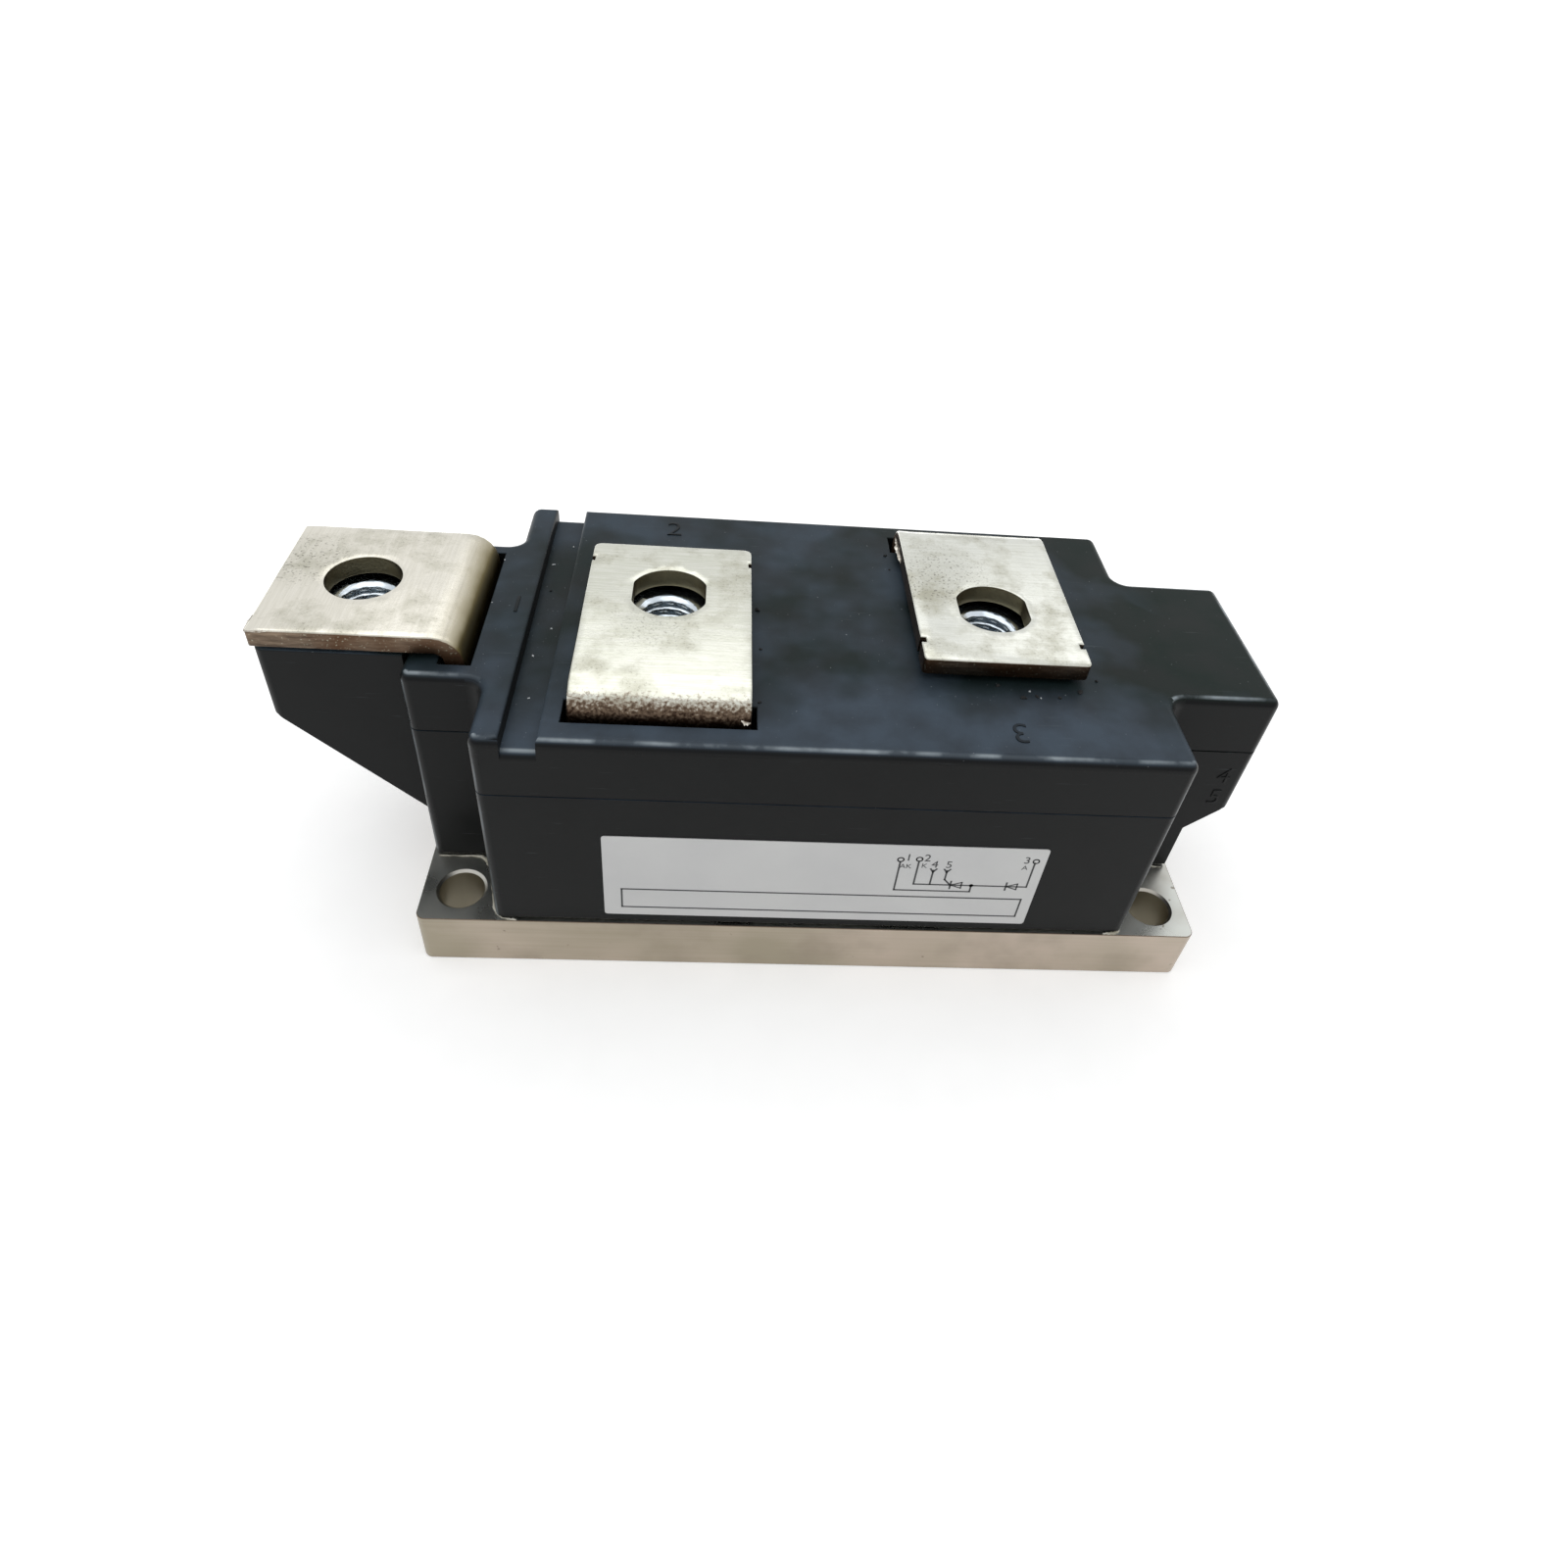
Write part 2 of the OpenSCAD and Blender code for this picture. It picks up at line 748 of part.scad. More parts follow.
module front_label() {
    color("#bdbebd")
        translate([-label_w / 2, -body_w / 2 - label_t, base_t + label_up])
            cube([label_w, label_t, label_h]);
}

// Quarter ring of a bend, in the quadrant that starts at the given angle
module bend(centre, start) {
    translate(centre)
        rotate(start)
            intersection() {
                square(bend_o);
                difference() {
                    circle(bend_o);
                    circle(bend_r);
                }
            }
}

// Section of an upper bar: chip contact, leg and terminal plate
module upper_profile() {
    leg = -leg_y - bar_t;
    flat_start = leg + bend_o;
    translate([flat_start, z_bar])
        square([bar_reach - flat_start, bar_t]);
    bend([flat_start, z_bar + bend_o], 180);
    translate([leg, z_bar + bend_o])
        square([bar_t, z_tip - z_bar - 2 * bend_o]);
    bend([flat_start, z_tip - bend_o], 90);
    translate([flat_start, z_seat])
        square([plate_end - flat_start, bar_t]);
}

// Double-D hole of terminals 2 and 3
module plate_hole() {
    linear_extrude(bar_t + 2 * over)
        intersection() {
            circle(d = plate_hole_l);
            square([plate_hole_w, plate_hole_l + over], center = true);
        }
}

// Upper bar in the thyristor's place, with its leg at the front
module upper_bar() {
    difference() {
        rotate([90, 0, 90])
            linear_extrude(bar_w, center = true)
                upper_profile();
        translate([0, 0, z_seat - over]) {
            plate_hole();
            for (side = [-1, 1]) {
                linear_extrude(bar_t + 2 * over)
                    corner_bit([side * bar_w / 2, plate_end], [-side, -1], plate_corner_r);
                translate([side * bar_w / 2, plate_end - plate_notch_off, 0])
                    linear_extrude(bar_t + 2 * over)
                        square([2 * plate_notch_d, plate_notch_l], center = true);
            }
        }
    }
}

module cathode_bar() {
    color(plated_copper)
        at_thyristor()
            difference() {
                upper_bar();
                translate([0, 0, z_bar - over])
                    cylinder(d = gate_bush_d + 2 * gate_fit, h = bar_t + 2 * over);
            }
}

module anode_bar() {
    color(plated_copper)
        at_diode()
            rotate(180)
                upper_bar();
}

// Section of the common bar: chip bed, leg and terminal plate 1
module common_profile() {
    leg = -common_leg_x - bar_t;
    translate([leg + bend_o, z_common])
        square([common_end - leg - bend_o, bar_t]);
    bend([leg + bend_o, z_common + bend_o], 180);
    translate([leg, z_common + bend_o])
        square([bar_t, z_tip - z_common - 2 * bend_o]);
    bend([leg + bar_t - bend_o, z_tip - bend_o], 0);
    translate([-plate_1_tip, z_seat])
        square([plate_1_tip + leg + bar_t - bend_o, bar_t]);
}

module common_bar() {
    color(plated_copper)
        difference() {
            rotate([90, 0, 0])
                linear_extrude(common_w, center = true)
                    common_profile();
            translate([0, 0, z_seat - over]) {
                translate([-plate_1_x, 0, 0])
                    cylinder(d = plate_1_hole_d, h = bar_t + 2 * over);
                for (side = [-1, 1])
                    linear_extrude(bar_t + 2 * over)
                        corner_bit([-plate_1_tip, side * common_w / 2], [1, -side], plate_corner_r);
            }
        }
}

// Hexagon nut with chamfered corners and a lead-in at each mouth of its bore
module nut() {
    chamfer = (nut_corner_d - nut_af) / 2 * tan(30);
    bore_r = nut_bore_d / 2;
    difference() {
        intersection() {
            rotate(30)
                cylinder(d = nut_corner_d, h = nut_h, $fn = 6);
            rotate_extrude()
                polygon([
                    [0, 0],
                    [nut_af / 2, 0],
                    [nut_corner_d / 2, chamfer],
                    [nut_corner_d / 2, nut_h - chamfer],
                    [nut_af / 2, nut_h],
                    [0, nut_h]
                ]);
        }
        translate([0, 0, -over])
            cylinder(r = bore_r, h = nut_h + 2 * over);
        cylinder(r1 = bore_r + nut_lead_in, r2 = bore_r, h = nut_lead_in);
        translate([0, 0, nut_h - nut_lead_in])
            cylinder(r1 = bore_r, r2 = bore_r + nut_lead_in, h = nut_lead_in);
    }
}

module common_nut() {
    color(zinc)
        translate([-plate_1_x, 0, z_nut])
            nut();
}

module cathode_nut() {
    color(zinc)
        translate([-chip_x, 0, z_nut])
            nut();
}

module anode_nut() {
    color(zinc)
        translate([chip_x, 0, z_nut])
            nut();
}

module chip_disc(d, z, t) {
    translate([0, 0, z])
        cylinder(d = d, h = t);
}

module thyristor_insulator() {
    color(ceramic)
        at_thyristor()
            chip_disc(insulator_d, base_t, insulator_t);
}

module thyristor_anode_disc() {
    color(molybdenum)
        at_thyristor()
            chip_disc(wafer_d, z_disc, disc_t);
}

module thyristor_wafer() {
    color(silicon)
        at_thyristor()
            chip_disc(wafer_d, z_wafer, wafer_t);
}

module thyristor_cathode_disc() {
    color(molybdenum)
        at_thyristor()
            translate([0, 0, z_contact])
                ring(contact_d, gate_bush_d + 2 * gate_fit, contact_t);
}

module diode_insulator() {
    color(ceramic)
        at_diode()
            chip_disc(insulator_d, base_t, insulator_t);
}

module diode_cathode_disc() {
    color(molybdenum)
        at_diode()
            chip_disc(wafer_d, z_disc, disc_t);
}

module diode_wafer() {
    color(silicon)
        at_diode()
            chip_disc(wafer_d, z_wafer, wafer_t);
}

module diode_anode_disc() {
    color(molybdenum)
        at_diode()
            chip_disc(contact_d, z_contact, contact_t);
}

// Cap with a boss that centres the disc springs, a blind bore and a groove for the gate wire
module pressure_cap() {
    difference() {
        union() {
            chip_disc(cap_d, z_cap, cap_t);
            chip_disc(cap_boss_d, z_cap, z_cap_boss - z_cap);
        }
        chip_disc(cap_bore_d, z_cap - over, z_cap_roof - z_cap + over);
        span([0, -cap_groove_w / 2, z_cap - over], [cap_d, cap_groove_w / 2, z_cap + cap_groove_h]);
    }
}

module thyristor_pressure_cap() {
    color(pale_plastic)
        at_thyristor()
            pressure_cap();
}

module diode_pressure_cap() {
    color(pale_plastic)
        at_diode()
            pressure_cap();
}

// Disc springs laid in turn rim down and rim up, with their play between them
module disc_springs() {
    pitch = spring_t + spring_cone;
    cone = spring_cone - spring_play;
    for (i = [0:spring_n - 1]) {
        rim = i % 2 == 0 ? 0 : cone;
        translate([0, 0, z_spring + spring_play / 2 + i * pitch])
            rotate_extrude()
                polygon([
                    [spring_id / 2, cone - rim],
                    [spring_od / 2, rim],
                    [spring_od / 2, rim + spring_t],
                    [spring_id / 2, cone - rim + spring_t]
                ]);
    }
}

module thyristor_disc_springs() {
    color(spring_steel)
        at_thyristor()
            disc_springs();
}

module diode_disc_springs() {
    color(spring_steel)
        at_diode()
            disc_springs();
}

module yoke() {
    half = yoke_w / 2;
    corners = [[half, -half, yoke_r, 1], [half, half, yoke_r, 1], [-half, half, yoke_r, 1], [-half, -half, yoke_r, 1]];
    translate([0, 0, z_yoke])
        difference() {
            linear_extrude(yoke_t)
                rounded_plan(corners);
            translate([0, 0, -over])
                at_screws()
                    cylinder(d = screw_d + 2 * screw_gap, h = yoke_t + 2 * over);
        }
}

module thyristor_yoke() {
    color(spring_steel)
        at_thyristor()
            yoke();
}

module diode_yoke() {
    color(spring_steel)
        at_diode()
            yoke();
}

// Four screws, each with a hexagon socket in its head
module clamp_screws() {
    socket_af = 0.6 * screw_d;
    at_screws()
        difference() {
            union() {
                translate([0, 0, base_t - screw_depth])
                    cylinder(d = screw_d, h = z_head - base_t + screw_depth);
                translate([0, 0, z_head])
                    cylinder(d = screw_head_d, h = screw_head_h);
            }
            translate([0, 0, z_head + screw_head_h / 2])
                cylinder(d = socket_af / cos(30), h = screw_head_h, $fn = 6);
        }
}

module thyristor_clamp_screws() {
    color(zinc)
        at_thyristor()
            clamp_screws();
}

module diode_clamp_screws() {
    color(zinc)
        at_diode()
            clamp_screws();
}

// Pin that stands on the wafer's centre, with a collar for its spring and a flag for its wire
module gate_pin() {
    color(plated_copper)
        at_thyristor() {
            chip_disc(gate_pin_d, z_contact, z_coil - z_contact);
            chip_disc(gate_collar_d, z_collar, gate_collar_t);
            span([0, -gate_flag_t / 2, z_gate_wire - gate_flag_t / 2],
                [gate_flag_l, gate_flag_t / 2, z_gate_wire + gate_flag_t / 2]);
        }
}

// Point on the gate spring's wire: turn angle a, place p round the wire, rising with the turn
function helix_point(a, p, rise) =
    let (r = gate_coil_d / 2 - gate_wire_d / 2 + gate_wire_d / 2 * cos(p))
    [r * cos(a), r * sin(a), rise * a / 360 + gate_wire_d / 2 * sin(p)];

module gate_spring() {
    rings = gate_turns * helix_steps;
    rise = (z_cap_roof - z_coil - gate_wire_d) / gate_turns;
    points = [
        for (i = [0:rings], k = [0:helix_sides - 1])
            helix_point(i * 360 / helix_steps, k * 360 / helix_sides, rise)
    ];
    sides = [
        for (i = [0:rings - 1], k = [0:helix_sides - 1])
            let (n = (k + 1) % helix_sides, low = i * helix_sides, high = low + helix_sides)
            [low + k, high + k, high + n, low + n]
    ];
    first = [for (k = [0:helix_sides - 1]) k];
    last = [for (k = [helix_sides - 1:-1:0]) rings * helix_sides + k];
    color(spring_steel)
        translate([-chip_x, 0, z_coil + gate_wire_d / 2])
            polyhedron(points, concat([first], sides, [last]));
}

module gate_bush() {
    color(pale_plastic)
        translate([-chip_x, 0, z_contact])
            ring(gate_bush_d, gate_pin_d + 2 * gate_fit, z_cap - z_contact);
}

// Flat blade from its root inside the block to its bevelled tip in the socket
module blade(root, z) {
    tip = block_x - tab_recess;
    bevel = tab_w / 4;
    translate([0, -socket_y, z - tab_t / 2])
        linear_extrude(tab_t)
            difference() {
                polygon([
                    [root, -tab_w / 2],
                    [tip - bevel, -tab_w / 2],
                    [tip, -tab_w / 4],
                    [tip, tab_w / 4],
                    [tip - bevel, tab_w / 2],
                    [root, tab_w / 2]
                ]);
                translate([tip - tab_w, 0])
                    circle(d = tab_hole_d);
            }
}

module gate_tab() {
    color(plated_copper)
        blade(tab_root_high, z_tab_high);
}

module cathode_tab() {
    color(plated_copper)
        blade(tab_root_low, z_tab_low);
}

function step_length(list, i) = norm(list[i + 1] - list[i]);
// Bend radius that the route's shortest stretch has room for
function route_bend(list) =
    min([lead_bend, for (i = [0:len(list) - 2]) 0.49 * step_length(list, i)]);

// Round wire along a route whose stretches meet at right angles
module lead(list) {
    bend = route_bend(list);
    last = len(list) - 1;
    for (i = [0:last - 1]) {
        ahead = unit(list[i + 1] - list[i]);
        start = list[i] + (i > 0 ? bend : 0) * ahead;
        end = list[i + 1] - (i + 1 < last ? bend : 0) * ahead;
        translate(start)
            rotate([0, acos(ahead[2]), atan2(ahead[1], ahead[0])])
                cylinder(d = lead_d, h = norm(end - start));
    }
    for (i = [1:last - 1]) {
        a = unit(list[i] - list[i - 1]);
        b = unit(list[i + 1] - list[i]);
        c = cross(a, b);
        centre = list[i] + bend * (b - a);
        multmatrix([
            [-b[0], a[0], c[0], centre[0]],
            [-b[1], a[1], c[1], centre[1]],
            [-b[2], a[2], c[2], centre[2]]
        ])
            rotate_extrude(angle = 90)
                translate([bend, 0])
                    circle(d = lead_d);
    }
}

module gate_lead() {
    color("#d9d9d6")
        lead(gate_route);
}

module cathode_lead() {
    color("#9c2f2a")
        lead(cathode_route);
}

base_plate();
base_seal();
housing_frame();
housing_lid();
front_label();
common_bar();
cathode_bar();
anode_bar();
common_nut();
cathode_nut();
anode_nut();
thyristor_insulator();
thyristor_anode_disc();
thyristor_wafer();
thyristor_cathode_disc();
diode_insulator();
diode_cathode_disc();
diode_wafer();
diode_anode_disc();
thyristor_pressure_cap();
thyristor_disc_springs();
thyristor_yoke();
thyristor_clamp_screws();
diode_pressure_cap();
diode_disc_springs();
diode_yoke();
diode_clamp_screws();
gate_pin();
gate_spring();
gate_bush();
gate_tab();
cathode_tab();
gate_lead();
cathode_lead();
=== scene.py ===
"""Looks of an isolated thyristor and diode module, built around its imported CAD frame.

Sizes are millimetres in the part's own frame and turn to metres where a mesh or a pattern is
made. +X points to the gate end, +Y to the back and +Z up from the underside of the base.
"""

import itertools
import json
import logging
import math
import random
from collections.abc import Callable, Sequence
from dataclasses import dataclass
from enum import Enum
from functools import partial

import bmesh
import bpy
from mathutils import Matrix, Vector, noise
from mathutils.geometry import delaunay_2d_cdt
from mathutils.kdtree import KDTree


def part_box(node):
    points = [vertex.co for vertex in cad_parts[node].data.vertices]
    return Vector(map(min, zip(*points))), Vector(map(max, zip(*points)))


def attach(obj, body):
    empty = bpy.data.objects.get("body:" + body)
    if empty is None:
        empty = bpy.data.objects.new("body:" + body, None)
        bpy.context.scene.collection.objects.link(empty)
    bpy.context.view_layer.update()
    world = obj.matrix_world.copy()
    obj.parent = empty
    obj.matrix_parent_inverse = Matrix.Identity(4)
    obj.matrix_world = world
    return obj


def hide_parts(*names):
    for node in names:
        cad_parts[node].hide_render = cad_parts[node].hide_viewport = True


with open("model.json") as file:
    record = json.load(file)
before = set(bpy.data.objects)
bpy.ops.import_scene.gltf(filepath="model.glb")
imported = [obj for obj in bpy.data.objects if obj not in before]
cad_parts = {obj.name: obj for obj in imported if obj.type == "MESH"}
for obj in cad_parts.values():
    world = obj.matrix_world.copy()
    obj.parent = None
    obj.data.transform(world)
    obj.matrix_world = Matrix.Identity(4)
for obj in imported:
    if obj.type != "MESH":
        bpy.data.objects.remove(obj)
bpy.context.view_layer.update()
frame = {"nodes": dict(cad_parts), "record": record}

MM = 0.001
UP = Vector((0, 0, 1))
FULL_TURN = 2 * math.pi
# Heights of the lid's flat top and of the floor of its groove
LID_TOP = 48.0
GROOVE = 45.7
# Points of a mesh that are closer than this, in metres, become one
WELD = 1e-6
# The same for raised figures, in millimetres
FIGURE_WELD = 1e-4
# Degrees below which neighbouring faces are one, and above which an edge is sharp
FLAT = 0.4
SHARP = 40
# Radians below which an edge is hollow
HOLLOW = -0.02
# Smallest length that counts in a plan
HAIR = 1e-6
# What lies this close to a face counts as on it
NEAR = 0.1
# Widest face that counts as an edge rounding
NARROW = 0.8
# Edge roundings take painted highlight and shade past the body's end or at its front, and in the front half
# of the notch by the nose
BODY_END = 50.2
FRONT = -28.0
NOSE = -61.8

Adder = Callable[..., bpy.types.NodeSocket]
Inputs = dict[str | int, object]
Triple = tuple[float, float, float]
# A mesh in millimetres and the matrix that puts it in place
Placed = tuple[bmesh.types.BMesh, Matrix]
log = logging.getLogger("thyristor_module")


def linear(code: str) -> tuple[float, float, float, float]:
    """Turns an sRGB hex colour into linear RGBA."""
    parts = [int(code[i:i + 2], 16) / 255 for i in (1, 3, 5)]
    return (*(p / 12.92 if p <= 0.04045 else ((p + 0.055) / 1.055) ** 2.4 for p in parts), 1.0)


def per(size: float) -> float:
    """Pattern scale whose features have a real size in millimetres."""
    return 1 / (size * MM)


def feed(tree: bpy.types.NodeTree, node: bpy.types.Node, inputs: Inputs) -> None:
    """Links or sets the inputs of a node.

    Args:
        tree: the tree that the node is in.
        node: the node.
        inputs: for each socket name or number, the socket that feeds it or its value.
    """
    for key, value in inputs.items():
        if isinstance(value, bpy.types.NodeSocket):
            tree.links.new(value, node.inputs[key])
        else:
            node.inputs[key].default_value = value


def add(
    tree: bpy.types.NodeTree, kind: str, *values: object, inputs: Inputs | None = None, out: str = "",
    **settings: object
) -> bpy.types.NodeSocket:
    """Adds one shader node with its settings and links.

    Args:
        tree: the material's or the world's node tree.
        kind: the node's type, without its ShaderNode prefix.
        values: what feeds its inputs in use, in their order.
        inputs: what feeds its inputs by name.
        out: the output that is wanted, which is the first one in use if left out.
        settings: the node's own properties.

    Returns:
        That output.
    """
    node = tree.nodes.new("ShaderNode" + kind)
    for name, value in settings.items():
        setattr(node, name, value)
    used = (i for i, socket in enumerate(node.inputs) if socket.enabled)
    feed(tree, node, dict(zip(used, values)) | (inputs or {}))
    return node.outputs[out] if out else next(socket for socket in node.outputs if socket.enabled)


def box_mm(node: str) -> tuple[Vector, Vector]:
    """Lowest and highest corner of a CAD node in millimetres."""
    low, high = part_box(node)
    return low / MM, high / MM


def finished(
    name: str, bm: bmesh.types.BMesh, material: bpy.types.Material, sharp: float = 32
) -> bpy.types.Object:
    """Turns a bmesh in metres into an object with smooth faces and sharp edges.

    Args:
        name: the piece's name.
        bm: the mesh, which is freed.
        material: the piece's finish.
        sharp: edges that turn by more than this many degrees stay sharp.

    Returns:
        The new object.
    """
    bmesh.ops.recalc_face_normals(bm, faces=bm.faces)
    mesh = bpy.data.meshes.new(name)
    bm.to_mesh(mesh)
    bm.free()
    mesh.shade_smooth()
    mesh.set_sharp_from_angle(angle=math.radians(sharp))
    mesh.materials.append(material)
    piece = bpy.data.objects.new(name, mesh)
    bpy.context.scene.collection.objects.link(piece)
    return piece


def seat(piece: bpy.types.Object, slot: str, *stands_for: str) -> None:
    """Fixes a piece to the part and reports it.

    Args:
        piece: the piece.
        slot: the material slot that is reported for it.
        stands_for: the CAD nodes that it replaces.
    """
    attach(piece, "root")
    if stands_for:
        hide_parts(*stands_for)
    log.info("%s: %d faces, slot %s", piece.name, len(piece.data.polygons), slot)


@dataclass(frozen=True)
class Finish:
    """A surface finish that becomes one procedural material."""

    name: str

    def material(self) -> bpy.types.Material:
        """Builds the material.

        Returns:
            The new material.
        """
        made = bpy.data.materials.new(self.name)
        made.use_nodes = True
        tree = made.node_tree
        feed(tree, tree.nodes["Principled BSDF"], self.dress(partial(add, tree)))
        return made

    def dress(self, node: Adder) -> Inputs:
        """Lays the finish's patterns into its material.

        Args:
            node: adds a node to the material.

        Returns:
            What feeds the shader.
        """
        raise NotImplementedError


@dataclass(frozen=True)
class MouldedPolyester(Finish):
    """Black glass-filled polyester, injection moulded in a spark-eroded tool.

    Matt and near black on its walls. Upward faces carry a thin film of dust and handling with a
    painted sheen in it, that shows as a blotchy blue-grey. Rounded edges are smoother, with a
    painted highlight where they turn up or stand upright and a painted dark reflection between.
    """

    wall: str = "#101111"
    wall_pale: str = "#161717"
    # The film's tones, which also carry a painted sheen on upward faces
    film_and_sheen_blue: str = "#3b4651"
    film_and_sheen_green: str = "#0c1a16"
    # Tone of scuffs, and of the painted highlight on edge roundings
    rubbed: str = "#8d969b"
    # Painted dark reflection on the slope of edge roundings
    painted_dark_reflection: str = "#0a0b0c"
    dust: str = "#9aa0a3"
    roughness: float = 0.42
    gloss: float = 0.12
    blotch: float = 16.0
    patch: float = 7.0
    # The tool's real grain is about 0.05 mm and is drawn coarser, so that it shows
    grain: float = 0.3
    speck: float = 0.5
    scuff: Triple = (9.0, 0.5, 0.5)
    # Bands over which the film's painted sheen turns bluer at the front and greener at the gate end
    front_sheen_band: tuple[float, float] = (-27.0, -12.0)
    end_sheen_band: tuple[float, float] = (38.0, 56.0)
    patch_relief: float = 0.03
    grain_relief: float = 0.012

    def dress(self, node: Adder) -> Inputs:
        """Film with a painted sheen on upward faces, blotches, a painted highlight and dark reflection on
        roundings, dust specks and the tool's fine grain.

        Args:
            node: adds a node to the material.

        Returns:
            What feeds the shader.
        """
        place = node("TexCoord", out="Object")
        spot = node("SeparateXYZ", place).node.outputs
        normal = node("SeparateXYZ", node("NewGeometry", out="Normal")).node.outputs
        facing = normal["Z"]
        up = node("MapRange", facing, 0.35, 0.95, interpolation_type="SMOOTHSTEP")
        blotch, patch, grain, speck = (
            node("TexNoise", place, per(size), detail)
            for size, detail in ((self.blotch, 3), (self.patch, 5), (self.grain, 2), (self.speck, 1)))
        # The film and its painted sheen are bluer towards the front and greener towards the gate end
        near, far = (y * MM for y in self.front_sheen_band)
        front = node("MapRange", spot["Y"], near, far, 1.0, 0.0)
        near, far = (x * MM for x in self.end_sheen_band)
        end = node("MapRange", spot["X"], near, far, 0.0, 0.75)
        front_and_end_sheen = node("Math", front, end, operation="SUBTRACT")
        mottle = node("MapRange", blotch, 0.4, 0.6, 0.06, 0.74)
        hue = node("Math", mottle, front_and_end_sheen, operation="ADD", use_clamp=True)
        shade = node("MapRange", patch, 0.3, 0.7)
        film, wall = (
            node("Mix", share, linear(first), linear(second), data_type="RGBA")
            for share, first, second in (
                (hue, self.film_and_sheen_green, self.film_and_sheen_blue), (shade, self.wall, self.wall_pale)))
        # The film with its painted sheen lies on upward faces, in patches
        cover = node("MapRange", patch, 0.35, 0.65, 0.55, 1.0)
        film_and_sheen_share = node("Math", up, cover, operation="MULTIPLY")
        colour = node("Mix", film_and_sheen_share, wall, film, data_type="RGBA")
        drag = node("Mapping", inputs={"Vector": place, "Scale": [*map(per, self.scuff)]})
        dragged = node("TexNoise", drag, 1.0, 3)
        scuffed = node("MapRange", dragged, 0.68, 0.8, 0.0, 0.12)
        # Roundings get a painted highlight where they turn up or stand upright, and a painted dark reflection
        # on the slope between
        painted_edge_zone = node("Attribute", out="Fac", attribute_name="rubbed")
        broken = node("MapRange", patch, 0.42, 0.58, 0.1, 0.9)
        rising = node("MapRange", facing, 0.76, 0.9)
        band = node("MapRange", facing, 0.94, 0.99, 1.0, 0.0)
        brow = node("Math", rising, band, operation="MULTIPLY")
        skew = node("Math", normal["X"], normal["Y"], operation="MULTIPLY")
        steep = node("Math", skew, operation="ABSOLUTE")
        arris = node("MapRange", steep, 0.44, 0.5, 0.0, 0.4)
        highlight_band = node("Math", brow, arris, operation="MAXIMUM")
        worn = node("Math", painted_edge_zone, broken, operation="MULTIPLY")
        pale = node("Math", worn, highlight_band, operation="MULTIPLY")
        over = node("MapRange", facing, 0.12, 0.35, 0.0, 0.8)
        under = node("MapRange", facing, 0.6, 0.75, 1.0, 0.0)
        slope = node("Math", over, under, operation="MULTIPLY")
        dark_reflection_mask = node("Math", slope, painted_edge_zone, operation="MULTIPLY")
        grains = node("MapRange", speck, 0.75, 0.82, 0.0, 0.4)
        settled = node("Math", grains, up, operation="MULTIPLY")
        # Scuffs and dust are marks on the surface; the roundings' dark slope and pale band are painted
        # reflection and highlight
        for mask, tone in (
                (scuffed, self.rubbed), (dark_reflection_mask, self.painted_dark_reflection), (pale, self.rubbed), (settled, self.dust)):
            colour = node("Mix", mask, colour, linear(tone), data_type="RGBA")
        smooth, matt = self.roughness - 0.05, self.roughness + 0.08
        dull = node("MapRange", patch, 0.3, 0.7, smooth, matt)
        rough = node("Math", painted_edge_zone, -0.14, dull, operation="MULTIPLY_ADD")
        relief = node("Bump", inputs={"Height": patch, "Distance": self.patch_relief * MM, "Strength": 0.5})
        relief = node("Bump", inputs={
            "Height": grain, "Distance": self.grain_relief * MM, "Strength": 0.5, "Normal": relief})
        return {"Base Color": colour, "Roughness": rough, "Normal": relief, "Specular IOR Level": self.gloss}


